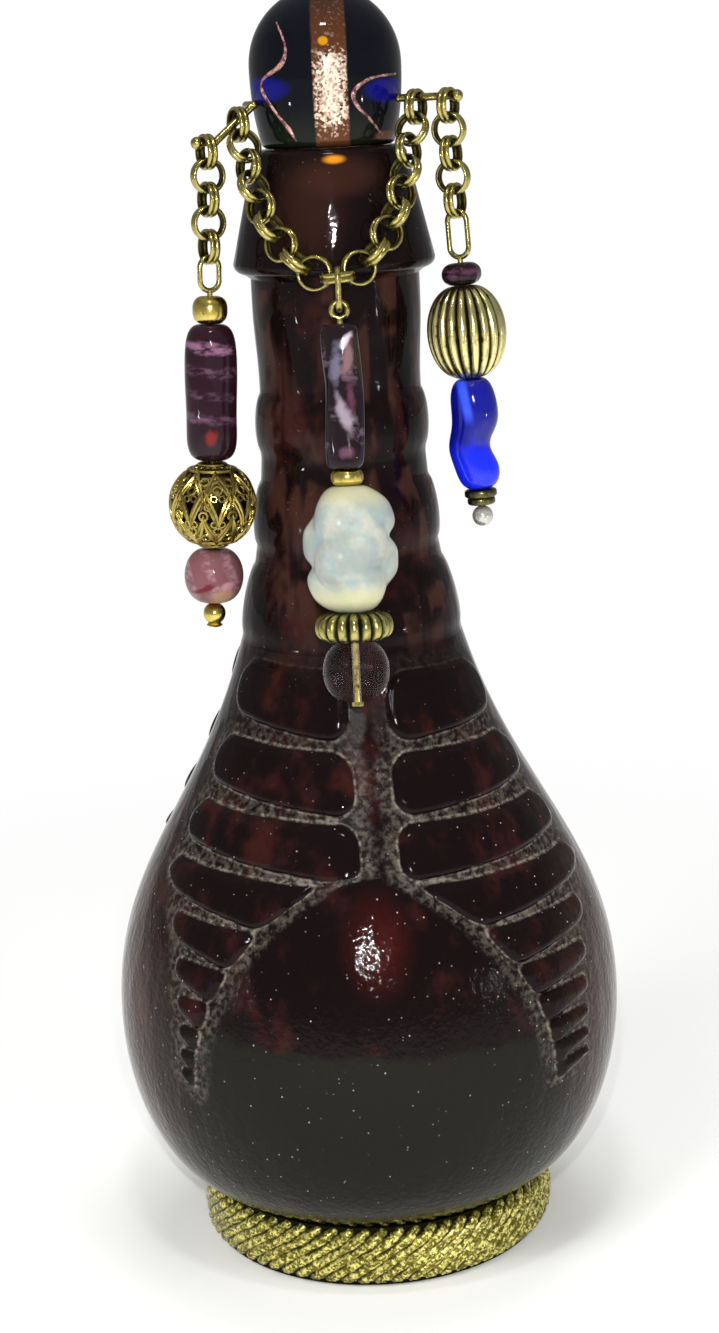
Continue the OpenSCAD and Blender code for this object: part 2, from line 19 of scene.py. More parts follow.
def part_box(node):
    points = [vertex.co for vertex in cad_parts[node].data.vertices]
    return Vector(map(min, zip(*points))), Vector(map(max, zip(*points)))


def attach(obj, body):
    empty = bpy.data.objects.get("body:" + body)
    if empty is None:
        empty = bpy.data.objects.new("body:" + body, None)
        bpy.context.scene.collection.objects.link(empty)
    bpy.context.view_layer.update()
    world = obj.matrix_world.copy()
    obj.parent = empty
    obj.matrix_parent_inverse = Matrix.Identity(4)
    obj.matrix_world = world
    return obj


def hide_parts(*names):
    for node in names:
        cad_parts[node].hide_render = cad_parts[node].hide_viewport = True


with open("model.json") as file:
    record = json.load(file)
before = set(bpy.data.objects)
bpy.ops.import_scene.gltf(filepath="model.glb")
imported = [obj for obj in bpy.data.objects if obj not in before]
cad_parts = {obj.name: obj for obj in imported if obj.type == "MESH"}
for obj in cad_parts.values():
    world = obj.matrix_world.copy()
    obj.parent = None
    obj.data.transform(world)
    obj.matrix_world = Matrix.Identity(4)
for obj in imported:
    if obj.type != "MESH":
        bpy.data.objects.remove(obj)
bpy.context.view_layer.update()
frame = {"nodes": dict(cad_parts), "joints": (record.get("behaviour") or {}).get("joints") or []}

bl_info = {
    "name": "Genie bottle",
    "version": (1, 0, 0),
    "blender": (4, 5, 0),
    "location": "View3D > Sidebar > Genie bottle",
    "description": "Models and finishes a glass bottle with a beaded stopper",
    "category": "Add Mesh",
}

MM = 0.001
FULL_TURN = 2 * math.pi

# Names of the shader nodes that the materials use
ATTRIBUTE = "ShaderNodeAttribute"
MATH = "ShaderNodeMath"
LENGTHS = "ShaderNodeVectorMath"
RANGE = "ShaderNodeMapRange"
MIX = "ShaderNodeMix"
NOISE = "ShaderNodeTexNoise"
GRAINS = "ShaderNodeTexVoronoi"
SPLIT = "ShaderNodeSeparateXYZ"
STRETCH = "ShaderNodeMapping"
BUMP = "ShaderNodeBump"


def linear(hex_text, alpha=1.0):
    """A colour written as sRGB hex, as the linear values that the shaders take."""
    channels = [int(hex_text[i:i + 2], 16) / 255 for i in (1, 3, 5)]
    return tuple(c / 12.92 if c <= 0.04045 else ((c + 0.055) / 1.055) ** 2.4 for c in channels) + (alpha,)


# Mesh helpers


def stamp(bm, mesh, matrix):
    """Adds a copy of a mesh to bm, moved by matrix."""
    before = len(bm.verts)
    bm.from_mesh(mesh)
    bm.verts.ensure_lookup_table()
    bmesh.ops.transform(bm, matrix=matrix, verts=bm.verts[before:])


def lathe(bm, outline, steps, closed=False):
    """Turns an outline of (radius, height) points round Z."""
    verts = [bm.verts.new((r, 0, z)) for r, z in outline]
    pairs = list(zip(verts, verts[1:])) + ([(verts[-1], verts[0])] if closed else [])
    edges = [bm.edges.new(pair) for pair in pairs]
    bmesh.ops.spin(bm, geom=verts + edges, cent=(0, 0, 0), axis=(0, 0, 1), angle=FULL_TURN, steps=steps,
                   use_merge=True, use_duplicate=False)
    bmesh.ops.remove_doubles(bm, verts=bm.verts, dist=1e-4)


def wire(bm, path, radius, sides=8, closed=False):
    """A round wire along a path. Its radius is a number, or a function of the way along from 0 to 1."""
    points = [Vector(p) for p in path]
    count = len(points)
    turn = None
    rings = []
    for i, point in enumerate(points):
        ahead = points[(i + 1) % count] if closed or i + 1 < count else point
        behind = points[i - 1] if closed or i > 0 else point
        aim = (ahead - behind).normalized()
        turn = (Vector((0, 0, 1)).rotation_difference(aim) if turn is None
                else last_aim.rotation_difference(aim) @ turn)
        last_aim = aim
        r = radius(i / (count - 1)) if callable(radius) else radius
        place = Matrix.Translation(point) @ turn.to_matrix().to_4x4()
        verts = bmesh.ops.create_circle(bm, segments=sides, radius=r, matrix=place)["verts"]
        rings.append((verts, list({e for v in verts for e in v.link_edges})))
    for (_, a), (_, b) in zip(rings, rings[1:] + rings[:1] if closed else rings[1:]):
        bmesh.ops.bridge_loops(bm, edges=a + b)
    if not closed:
        for verts, _ in (rings[0], rings[-1]):
            bmesh.ops.contextual_create(bm, geom=verts)


def ball(bm, centre, radius, detail=2):
    """A small round ball."""
    bmesh.ops.create_icosphere(bm, subdivisions=detail, radius=radius, matrix=Matrix.Translation(centre))


def mesh_of(build):
    """A mesh made by a function that fills a bmesh."""
    bm = bmesh.new()
    build(bm)
    mesh = bpy.data.meshes.new("stamp")
    bm.to_mesh(mesh)
    bm.free()
    return mesh


def ring_mesh(ring_r, thick, wide, around=28, sides=12):
    """A ring in the XY plane, bent from flattened wire; its inner side is marked as groove, where dirt stays."""
    def build(bm):
        outline = [(ring_r + thick * math.cos(FULL_TURN * k / sides), wide * math.sin(FULL_TURN * k / sides))
                   for k in range(sides)]
        lathe(bm, outline, around, closed=True)
        groove = bm.verts.layers.float.new("groove")
        for v in bm.verts:
            v[groove] = min(1, max(0, (ring_r + 0.2 * thick - v.co.xy.length) / thick))
    return mesh_of(build)


def smooth_path(points, steps=8):
    """Points of a smooth curve through a few chosen ones."""
    points = [Vector(p) for p in points]
    ends = [2 * points[0] - points[1]] + points + [2 * points[-1] - points[-2]]
    path = []
    for a, b, c, d in zip(ends, ends[1:], ends[2:], ends[3:]):
        for k in range(steps):
            t = k / steps
            path.append(0.5 * (2 * b + (c - a) * t + (2 * a - 5 * b + 4 * c - d) * t * t
                               + (3 * b - a - 3 * c + d) * t ** 3))
    return path + [points[-1]]


def add_piece(name, bm, body, material, nodes, place=Matrix(), sharp=math.radians(50)):
    """Puts a finished bmesh, in millimetres, in its place and ties it to its body and its CAD nodes."""
    bmesh.ops.recalc_face_normals(bm, faces=bm.faces)
    local = bm.verts.layers.float_vector.new("local")
    for v in bm.verts:
        v[local] = v.co
    bmesh.ops.transform(bm, matrix=Matrix.Scale(MM, 4) @ place, verts=bm.verts)
    mesh = bpy.data.meshes.new(name)
    bm.to_mesh(mesh)
    bm.free()
    mesh.polygons.foreach_set("use_smooth", [True] * len(mesh.polygons))
    mesh.set_sharp_from_angle(angle=sharp)
    mesh.materials.append(material)
    obj = bpy.data.objects.new(name, mesh)
    bpy.context.scene.collection.objects.link(obj)
    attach(obj, body)
    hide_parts(*nodes)
    return obj


def repaint(node, material):
    """Gives a CAD node that keeps its own shape a finished material."""
    data = frame["nodes"][node].data
    data.materials.clear()
    data.materials.append(material)


# Places taken from the frame


def string_place(joint_name):
    """The place of a bead string: its spinning bead's centre, with Z up along the wire."""
    joint = next(j for j in frame["joints"] if j["name"] == joint_name)
    turn = Vector((0, 0, 1)).rotation_difference(Vector(joint["axis"]))
    return Matrix.Translation(Vector(joint["pos_m"]) / MM) @ turn.to_matrix().to_4x4()


def corners(node):
    """A CAD node's points in millimetres."""
    data = frame["nodes"][node].data
    points = np.empty(len(data.vertices) * 3)
    data.vertices.foreach_get("co", points)
    return points.reshape(-1, 3) / MM


def span(node, string):
    """The place of a bead on its string, with its height and its largest radius."""
    back = np.array(string.inverted())
    points = corners(node) @ back[:3, :3].T + back[:3, 3]
    low, high = points[:, 2].min(), points[:, 2].max()
    middle = string @ Matrix.Translation((0, 0, (low + high) / 2))
    return middle, high - low, np.hypot(points[:, 0], points[:, 1]).max()


def rings_of(node):
    """The place, ring radius and wire radius of each ring of a CAD chain."""
    bm = bmesh.new()
    bm.from_mesh(frame["nodes"][node].data)
    bmesh.ops.remove_doubles(bm, verts=bm.verts, dist=1e-6)
    seen = set()
    found = []
    for start in bm.verts:
        if start in seen:
            continue
        island = [start]
        seen.add(start)
        for v in island:
            for edge in v.link_edges:
                other = edge.other_vert(v)
                if other not in seen:
                    seen.add(other)
                    island.append(other)
        points = np.array([v.co for v in island]) / MM
        centre = points.mean(0)
        axis = Vector(np.linalg.svd(points - centre)[2][2])
        wire_r = np.abs((points - centre) @ np.array(axis)).max()
        reach = np.linalg.norm(points - centre, axis=1).max()
        place = Matrix.Translation(centre) @ Vector((0, 0, 1)).rotation_difference(axis).to_matrix().to_4x4()
        found.append((place, reach - wire_r, wire_r))
    bm.free()
    return found


# Material helpers


def new_material(name):
    """A material with only an output and a Principled shader."""
    material = bpy.data.materials.new(name)
    material.use_nodes = True
    tree = material.node_tree
    return material, tree, tree.nodes["Principled BSDF"]


def add(tree, kind, inputs=(), **settings):
    """Adds a node with its settings; inputs, in order or by name, are values or other nodes' outputs."""
    node = tree.nodes.new(kind)
    for key, setting in settings.items():
        setattr(node, key, setting)
    fill(tree, node, inputs)
    return node.outputs


def fill(tree, node, inputs):
    """Sets a node's inputs, by links or by values."""
    for key, source in inputs.items() if isinstance(inputs, dict) else enumerate(inputs):
        if isinstance(source, bpy.types.NodeSocket):
            tree.links.new(source, node.inputs[key])
        else:
            node.inputs[key].default_value = source


# Materials


def amethyst_glass(look):
    """Pressed amethyst glass, cooled in an iron mould."""
    # Thick dark glass: almost black, red-brown where light comes through, lighter brown painted light at the
    # left and right sides, grey and dull between the ribs with painted highlight lines along the rib edges,
    # with the fine pebbled skin of the mould on the belly.
    material, tree, shader = new_material("pressed_amethyst_glass")
    place = add(tree, ATTRIBUTE, attribute_name="local")["Vector"]
    rib = add(tree, ATTRIBUTE, attribute_name="rib")["Fac"]
    x, y, z = add(tree, SPLIT, [place])
    squat = add(tree, STRETCH, {"Vector": place, "Scale": (1, 1, 0.7)})[0]
    clouds = add(tree, NOISE, {"Vector": squat, "Scale": 1 / 6, "Detail": 4, "Roughness": 0.6})["Fac"]
    warmth = add(tree, RANGE, [clouds, 0.48, 0.74], interpolation_type="SMOOTHSTEP")[0]
    body = add(tree, MIX, {"Factor": warmth, "A": linear(look.dark), "B": linear(look.warm)},
               data_type="RGBA")["Result"]

    upright = add(tree, STRETCH, {"Vector": place, "Scale": (1, 1, 0.1)})[0]
    bands = add(tree, NOISE, {"Vector": upright, "Scale": 1 / 3.4, "Detail": 2})["Fac"]
    bands = add(tree, RANGE, [bands, 0.46, 0.6], interpolation_type="SMOOTHSTEP")[0]
    patches = add(tree, NOISE, {"Vector": place, "Scale": 1 / 5, "Detail": 2})["Fac"]
    patches = add(tree, RANGE, [patches, 0.4, 0.56], interpolation_type="SMOOTHSTEP")[0]
    neck = add(tree, RANGE, [z, 82, 96], interpolation_type="SMOOTHSTEP")[0]
    for share in (bands, patches):
        neck = add(tree, MATH, [neck, share], operation="MULTIPLY")[0]
    body = add(tree, MIX, {"Factor": neck, "A": body, "B": linear(look.neck)}, data_type="RGBA")["Result"]

    # Painted light: lighter brown streaks at the left and right sides, where light shows through the glass near the
    # outline
    fibres = add(tree, STRETCH, {"Vector": place, "Scale": (1, 1, 0.14)})[0]
    fibres = add(tree, NOISE, {"Vector": fibres, "Scale": 1 / 0.8, "Detail": 3, "Roughness": 0.6})["Fac"]
    fibres = add(tree, RANGE, [fibres, 0.3, 0.7, 0.2, 0.75], interpolation_type="SMOOTHSTEP")[0]
    sideways = add(tree, MATH, [x], operation="ABSOLUTE")[0]
    side = add(tree, RANGE, [sideways, 23, 35.5], interpolation_type="SMOOTHSTEP")[0]
    side = add(tree, MATH, [side, fibres], operation="MULTIPLY")[0]
    body = add(tree, MIX, {"Factor": side, "A": body, "B": linear(look.side)}, data_type="RGBA")["Result"]

    ripple = add(tree, NOISE, {"Vector": place, "Scale": 1 / 2.6, "Detail": 2})["Fac"]
    level = add(tree, MATH, [x, 0.065, z], operation="MULTIPLY_ADD")[0]
    level = add(tree, MATH, [ripple, 3.0, level], operation="MULTIPLY_ADD")[0]
    low = add(tree, RANGE, [level, 40.9, 39.3], interpolation_type="SMOOTHSTEP")[0]
    middle = add(tree, RANGE, [sideways, 31, 22], interpolation_type="SMOOTHSTEP")[0]
    low = add(tree, MATH, [low, middle], operation="MULTIPLY")[0]
    body = add(tree, MIX, {"Factor": low, "A": body, "B": linear(look.low)}, data_type="RGBA")["Result"]

    lip = add(tree, RANGE, [z, 136.6, 138], interpolation_type="SMOOTHSTEP")[0]
    body = add(tree, MIX, {"Factor": lip, "A": body, "B": linear(look.dark)}, data_type="RGBA")["Result"]
    # Glows of the lip and the belly: centre, reach on each axis, strength and colour
    for centre, reach, strength, colour in (
            ((-3.5, -12, 145), (7, 9, 9), 0.32, look.glow), ((1.5, -11, 149.5), (8, 9, 3.6), 0.4, look.glow),
            ((0.6, -10.5, 151.6), (1.9, 6, 0.75), 1.0, look.amber), ((1.5, -33, 53), (6, 12, 9), 0.24, look.ember)):
        away = add(tree, STRETCH, {"Vector": place, "Location": centre, "Scale": reach}, vector_type="TEXTURE")[0]
        away = add(tree, LENGTHS, [away], operation="LENGTH")["Value"]
        near = add(tree, RANGE, [away, 1.0, 0.25, 0.0, strength], interpolation_type="SMOOTHSTEP")[0]
        body = add(tree, MIX, {"Factor": near, "A": body, "B": linear(colour)}, data_type="RGBA")["Result"]

    pebbles = add(tree, NOISE, {"Vector": place, "Scale": 1 / 0.8, "Detail": 2, "Roughness": 0.6})["Fac"]
    off_rib = add(tree, RANGE, [rib, -0.1, 0.35], interpolation_type="SMOOTHSTEP")[0]
    near_rib = add(tree, RANGE, [rib, 3.2, 1.4], interpolation_type="SMOOTHSTEP")[0]
    groove = add(tree, MATH, [off_rib, near_rib], operation="MULTIPLY")[0]
    # Height fade: full below 74 mm and faint above 81 mm, limiting the dull grooves and the painted highlight lines to
    # the ribbed belly
    worn = add(tree, RANGE, [z, 81, 74, 0.1, 1.0], interpolation_type="SMOOTHSTEP")[0]
    stain = add(tree, RANGE, [pebbles, 0.42, 0.72])[0]
    for share in (groove, worn):
        stain = add(tree, MATH, [share, stain], operation="MULTIPLY")[0]
    body = add(tree, MIX, {"Factor": stain, "A": body, "B": linear(look.groove)}, data_type="RGBA")["Result"]
    # Painted highlight lines along the rib edges, broken up by the pebbles
    from_edge = add(tree, MATH, [add(tree, MATH, [rib, 0.2], operation="SUBTRACT")[0]], operation="ABSOLUTE")[0]
    edge = add(tree, RANGE, [from_edge, 0.25, 0.03], interpolation_type="SMOOTHSTEP")[0]
    broken = add(tree, RANGE, [pebbles, 0.38, 0.68, 0.12, 1.0], interpolation_type="SMOOTHSTEP")[0]
    for share in (broken, worn):
        edge = add(tree, MATH, [edge, share], operation="MULTIPLY")[0]
    body = add(tree, MIX, {"Factor": edge, "A": body, "B": linear(look.edge)}, data_type="RGBA")["Result"]

    flecks = add(tree, GRAINS, {"Vector": place, "Scale": 1 / 0.85})
    fleck = add(tree, RANGE, [flecks["Distance"], 0.16, 0.08])[0]
    rare = add(tree, RANGE, [add(tree, SPLIT, [flecks["Color"]])[0], 0.74, 0.97])[0]
    below = add(tree, RANGE, [z, 78, 60, 0.15, 0.8])[0]
    for share in (rare, below):
        fleck = add(tree, MATH, [fleck, share], operation="MULTIPLY")[0]
    body = add(tree, MIX, {"Factor": fleck, "A": body, "B": linear(look.fleck)}, data_type="RGBA")["Result"]

    skin = add(tree, RANGE, [z, 70, 40, 0.12, 1.0])[0]
    skin = add(tree, MATH, [pebbles, skin], operation="MULTIPLY")[0]
    waves = add(tree, STRETCH, {"Vector": place, "Scale": (1, 1, 0.45)})[0]
    waves = add(tree, NOISE, {"Vector": waves, "Scale": 1 / 4.2, "Detail": 2})["Fac"]
    height = add(tree, MATH, [waves, 2.4, skin], operation="MULTIPLY_ADD")[0]
    fill(tree, shader, {
        "Base Color": body, "IOR": 1.52, "Specular IOR Level": 0.1,
        "Roughness": add(tree, RANGE, [groove, 0.0, 1.0, look.roughness, 0.36])[0],
        "Normal": add(tree, BUMP, {"Height": height, "Distance": look.skin_mm * MM})[0]})
    return material


def aged_brass(name, bright, shadow, roughness, grain_mm=0.8, depth_mm=0.03):
    """Cast or stamped brass, toned by age."""
    # Yellow and bright on what rubs, olive brown and dull in the grooves, with small stains.
    material, tree, shader = new_material(name)
    place = add(tree, ATTRIBUTE, attribute_name="local")["Vector"]
    groove = add(tree, ATTRIBUTE, attribute_name="groove")["Fac"]
    stain = add(tree, NOISE, {"Vector": place, "Scale": 1 / grain_mm, "Detail": 4, "Roughness": 0.6})["Fac"]
    spots = add(tree, RANGE, [stain, 0.5, 0.75, 0.0, 0.5], interpolation_type="SMOOTHSTEP")[0]
    deep = add(tree, RANGE, [groove, 0.05, 0.9], interpolation_type="SMOOTHSTEP")[0]
    dirt = add(tree, MATH, [spots, deep], operation="ADD", use_clamp=True)[0]
    colour = add(tree, MIX, {"Factor": dirt, "A": linear(bright), "B": linear(shadow)}, data_type="RGBA")["Result"]
    fill(tree, shader, {
        "Base Color": colour, "Metallic": 1.0,
        "Roughness": add(tree, RANGE, [dirt, 0.0, 1.0, roughness, roughness + 0.25])[0],
        "Normal": add(tree, BUMP, {"Height": stain, "Distance": depth_mm * MM})[0]})
    return material


def drawn_brass(metal):
    """Drawn brass wire of the pins, hooks and arms."""
    # Smooth and yellow, with dull brown stains along the wire.
    material, tree, shader = new_material("drawn_brass_wire")
    place = add(tree, "ShaderNodeTexCoord")["Object"]
    stain = add(tree, NOISE, {"Vector": place, "Scale": 1 / (0.9 * MM), "Detail": 3, "Roughness": 0.6})["Fac"]
    dull = add(tree, RANGE, [stain, 0.45, 0.75], interpolation_type="SMOOTHSTEP")[0]
    colour = add(tree, MIX, {"Factor": dull, "A": linear(metal.bright), "B": linear(metal.shadow)},
                 data_type="RGBA")["Result"]
    fill(tree, shader, {"Base Color": colour, "Metallic": 1.0,
                        "Roughness": add(tree, RANGE, [dull, 0.0, 1.0, 0.24, 0.42])[0]})
    return material


def gold_thread(look):
    """Lametta cord: cotton wound with flat gilt wire."""
    # Each strand glitters with grains of pale gold over olive shade, with painted shade deep between the strands; drawn
    # a little coarser than the real wire.
    material, tree, shader = new_material("woven_gold_thread")
    place = add(tree, ATTRIBUTE, attribute_name="local")["Vector"]
    groove = add(tree, ATTRIBUTE, attribute_name="groove")["Fac"]
    cells = add(tree, GRAINS, {"Vector": place, "Scale": 1 / 0.3})
    grain = add(tree, SPLIT, [cells["Color"]])[0]
    clouds = add(tree, NOISE, {"Vector": place, "Scale": 1 / 0.9, "Detail": 2})["Fac"]
    light = add(tree, MATH, [add(tree, MATH, [grain, 0.6], operation="MULTIPLY")[0], clouds], operation="ADD")[0]
    light = add(tree, RANGE, [light, 0.66, 1.1], interpolation_type="SMOOTHSTEP")[0]
    colour = add(tree, MIX, {"Factor": light, "A": linear(look.shadow), "B": linear(look.bright)},
                 data_type="RGBA")["Result"]
    # Painted shade: darkest where a strand sinks below the braid's outer face, between the strands
    deep = add(tree, RANGE, [groove, 0.1, 1.0, 0.0, 0.9], interpolation_type="SMOOTHSTEP")[0]
    colour = add(tree, MIX, {"Factor": deep, "A": colour, "B": linear(look.deep)}, data_type="RGBA")["Result"]
    fill(tree, shader, {
        "Base Color": colour, "Metallic": 0.75, "Roughness": 0.36,
        "Normal": add(tree, BUMP, {"Height": cells["Distance"], "Distance": -0.03 * MM})[0]})
    return material


def cobalt_dome(look):
    """Lampworked cobalt glass with copper aventurine laid over it."""
    # Almost black with deep blue glows at both sides, and a sparkling copper band over the top.
    material, tree, shader = new_material("lampworked_cobalt_glass")
    place = add(tree, ATTRIBUTE, attribute_name="local")["Vector"]
    x, y, z = add(tree, SPLIT, [place])
    body = add(tree, MIX, {"Factor": add(tree, RANGE, [z, 158.5, 154.5], interpolation_type="SMOOTHSTEP")[0],
                           "A": linear(look.night), "B": linear(look.moss)}, data_type="RGBA")["Result"]
    wander = add(tree, NOISE, {"Vector": place, "Scale": 1 / 2.2, "Detail": 3, "Roughness": 0.6})["Fac"]
    shift = add(tree, MATH, [wander, 0.9, -0.45], operation="MULTIPLY_ADD")[0]

    grains = add(tree, GRAINS, {"Vector": place, "Scale": 1 / 0.3})["Color"]
    grain = add(tree, SPLIT, [grains])[0]
    from_band = add(tree, MATH, [add(tree, MATH, [x, look.band_x], operation="SUBTRACT")[0]], operation="ABSOLUTE")[0]
    from_band = add(tree, MATH, [shift, 0.35, from_band], operation="MULTIPLY_ADD")[0]
    band = add(tree, RANGE, [from_band, look.band_half + 0.15, look.band_half - 0.25],
               interpolation_type="SMOOTHSTEP")[0]
    lit = add(tree, RANGE, [z, 166.6, 163.2, 0.12, 1.0], interpolation_type="SMOOTHSTEP")[0]
    lit = add(tree, MATH, [lit, add(tree, RANGE, [z, 152.8, 158.0], interpolation_type="SMOOTHSTEP")[0]],
              operation="MULTIPLY")[0]
    centre = add(tree, RANGE, [from_band, 2.6, 0.0, 0.35, 1.0])[0]
    lit = add(tree, MATH, [lit, centre], operation="MULTIPLY")[0]
    speckle = add(tree, MATH, [grain, 0.55, add(tree, MATH, [lit, 0.75], operation="MULTIPLY")[0]],
                  operation="MULTIPLY_ADD")[0]
    sparkle = add(tree, RANGE, [speckle, 0.5, 1.0], interpolation_type="SMOOTHSTEP")[0]
    copper = add(tree, MIX, {"Factor": sparkle, "A": linear(look.copper), "B": linear(look.spark)},
                 data_type="RGBA")["Result"]
    band_grade = add(tree, RANGE, [z, 171.5, 165.0, 0.3, 1.0])[0]
    band = add(tree, MATH, [band, band_grade], operation="MULTIPLY")[0]
    body = add(tree, MIX, {"Factor": band, "A": body, "B": copper}, data_type="RGBA")["Result"]
    # Glows: centre, reach on each axis and colour
    for centre, reach, colour in (
            ((-8.7, -6, 160.6), (5.2, 6, 1.9), look.cobalt), ((8.2, -6, 159.9), (4.2, 6, 1.8), look.cobalt),
            ((7.6, -5, 154.2), (1.9, 6, 0.7), look.copper), ((-0.1, -10, 166.3), (0.75, 6, 0.65), look.amber)):
        away = add(tree, STRETCH, {"Vector": place, "Location": centre, "Scale": reach}, vector_type="TEXTURE")[0]
        away = add(tree, LENGTHS, [away], operation="LENGTH")["Value"]
        near = add(tree, RANGE, [away, 1.05, 0.6], interpolation_type="SMOOTHSTEP")[0]
        body = add(tree, MIX, {"Factor": near, "A": body, "B": linear(colour)}, data_type="RGBA")["Result"]
    fill(tree, shader, {"Base Color": body, "Roughness": 0.05, "IOR": 1.5, "Specular IOR Level": 0.16,
                        "Metallic": add(tree, MATH, [band, 0.4], operation="MULTIPLY")[0]})
    return material


def copper_thread(look):
    """Thin canes of copper aventurine drawn over the cobalt glass."""
    # Broken lines of pink copper that flash white where the grains face the light.
    material, tree, shader = new_material("aventurine_cane")
    place = add(tree, ATTRIBUTE, attribute_name="local")["Vector"]
    grains = add(tree, NOISE, {"Vector": place, "Scale": 1 / 0.9, "Detail": 3, "Roughness": 0.7})["Fac"]
    light = add(tree, RANGE, [grains, 0.42, 0.62], interpolation_type="SMOOTHSTEP")[0]
    colour = add(tree, MIX, {"Factor": light, "A": linear("#57303a"), "B": linear(look.thread)},
                 data_type="RGBA")["Result"]
    fill(tree, shader, {"Base Color": colour, "Roughness": 0.18, "Metallic": 0.3})
    return material


def wound_glass(name, look):
    """Lampworked glass with lighter glass wound through it."""
    # Gloss over streaks that follow the winding. look holds the dark and the light colour, how much the light
    # glass leans, the height of one turn, size, strength and share of its swirls, bands where it shows as height,
    # half height and strength, and spots as centre, reach, tilt in degrees and colour.
    material, tree, shader = new_material(name)
    place = add(tree, ATTRIBUTE, attribute_name="local")["Vector"]
    x, y, z = add(tree, SPLIT, [place])
    warp = add(tree, NOISE, {"Vector": place, "Scale": 1 / look["swirl_mm"], "Detail": 3, "Roughness": 0.55})["Fac"]
    slope = add(tree, MATH, [x, look["lean"], z], operation="MULTIPLY_ADD")[0]
    phase = add(tree, MATH, [slope, FULL_TURN / look["turn_mm"]], operation="MULTIPLY")[0]
    phase = add(tree, MATH, [warp, look["warp"], phase], operation="MULTIPLY_ADD")[0]
    stripe = add(tree, MATH, [phase], operation="SINE")[0]
    stripe = add(tree, RANGE, [stripe, 1 - 2 * look["share"], 1.0], interpolation_type="SMOOTHSTEP")[0]
    flat = add(tree, STRETCH, {"Vector": place, "Scale": (1, 1, 2.6)})[0]
    wisps = add(tree, NOISE, {"Vector": flat, "Scale": 1 / 1.8, "Detail": 4, "Roughness": 0.6})["Fac"]
    wisps = add(tree, RANGE, [wisps, 0.36, 0.62], interpolation_type="SMOOTHSTEP")[0]
    light = add(tree, MATH, [stripe, wisps], operation="MULTIPLY")[0]
    reach = None
    for at_z, tall, strength in look["bands"]:
        off = add(tree, MATH, [add(tree, MATH, [z, at_z], operation="SUBTRACT")[0]], operation="ABSOLUTE")[0]
        near = add(tree, RANGE, [off, tall, tall * 0.3, 0.0, strength], interpolation_type="SMOOTHSTEP")[0]
        reach = near if reach is None else add(tree, MATH, [reach, near], operation="MAXIMUM")[0]
    if reach is not None:
        light = add(tree, MATH, [light, reach], operation="MULTIPLY")[0]
    colour = add(tree, MIX, {"Factor": light, "A": linear(look["dark"]), "B": linear(look["light"])},
                 data_type="RGBA")["Result"]
    for centre, reach, tilt, spot_colour in look["spots"]:
        away = add(tree, STRETCH, {"Vector": place, "Location": centre, "Rotation": (0, math.radians(tilt), 0),
                                   "Scale": reach}, vector_type="TEXTURE")[0]
        away = add(tree, LENGTHS, [away], operation="LENGTH")["Value"]
        away = add(tree, MATH, [warp, 2.2, away], operation="MULTIPLY_ADD")[0]
        near = add(tree, RANGE, [away, 2.15, 1.3], interpolation_type="SMOOTHSTEP")[0]
        colour = add(tree, MIX, {"Factor": near, "A": colour, "B": linear(spot_colour)}, data_type="RGBA")["Result"]
    fill(tree, shader, {"Base Color": colour, "Roughness": 0.07, "IOR": 1.5, "Specular IOR Level": 0.25,
                        "Subsurface Weight": look["milk"],
                        "Subsurface Scale": 1.5 * MM})
    return material


def opal_glass():
    """Pressed opal glass."""
    # Milky and translucent: blue-grey in the body, cream where light passes, with a painted warm glow at the lower end.
    material, tree, shader = new_material("opal_glass")
    place = add(tree, ATTRIBUTE, attribute_name="local")["Vector"]
    x, y, z = add(tree, SPLIT, [place])
    clouds = add(tree, NOISE, {"Vector": place, "Scale": 1 / 3.6, "Detail": 3, "Roughness": 0.55})["Fac"]
    cream = add(tree, RANGE, [clouds, 0.35, 0.7], interpolation_type="SMOOTHSTEP")[0]
    colour = add(tree, MIX, {"Factor": cream, "A": linear("#98a19c"), "B": linear("#b8bcb0")},
                 data_type="RGBA")["Result"]
    blue = add(tree, NOISE, {"Vector": place, "Scale": 1 / 2.4, "Detail": 2, "Distortion": 0.6})["Fac"]
    blue = add(tree, RANGE, [blue, 0.48, 0.75, 0.0, 0.55], interpolation_type="SMOOTHSTEP")[0]
    colour = add(tree, MIX, {"Factor": blue, "A": colour, "B": linear("#859dab")}, data_type="RGBA")["Result"]
    # Warm bands near both ends; the lower one is a painted glow of light through the milky glass
    for at_z, reach, warm in ((-6.3, 1.8, "#cac89c"), (7.4, 1.6, "#b6b38c")):
        off = add(tree, MATH, [add(tree, MATH, [z, at_z], operation="SUBTRACT")[0]], operation="ABSOLUTE")[0]
        near = add(tree, RANGE, [off, reach * 1.6, 0.0, 0.0, 0.8], interpolation_type="SMOOTHSTEP")[0]
        colour = add(tree, MIX, {"Factor": near, "A": colour, "B": linear(warm)}, data_type="RGBA")["Result"]
    fill(tree, shader, {"Base Color": colour, "Roughness": 0.05, "IOR": 1.5, "Subsurface Weight": 0.5,
                        "Subsurface Scale": 3 * MM, "Transmission Weight": 0.12})
    return material


def clear_glass():
    """Clear pressed glass."""
    # Nearly invisible: only its edges and the glints of the lamps show. A low IOR keeps the wire inside straight.
    material, tree, shader = new_material("clear_glass")
    place = add(tree, ATTRIBUTE, attribute_name="local")["Vector"]
    clouds = add(tree, NOISE, {"Vector": place, "Scale": 1 / 2.0, "Detail": 2})["Fac"]
    colour = add(tree, MIX, {"Factor": clouds, "A": linear("#ffffff"), "B": linear("#f3eaee")},
                 data_type="RGBA")["Result"]
    fill(tree, shader, {"Base Color": colour, "Roughness": 0.02, "IOR": 1.12, "Transmission Weight": 1.0})
    return material


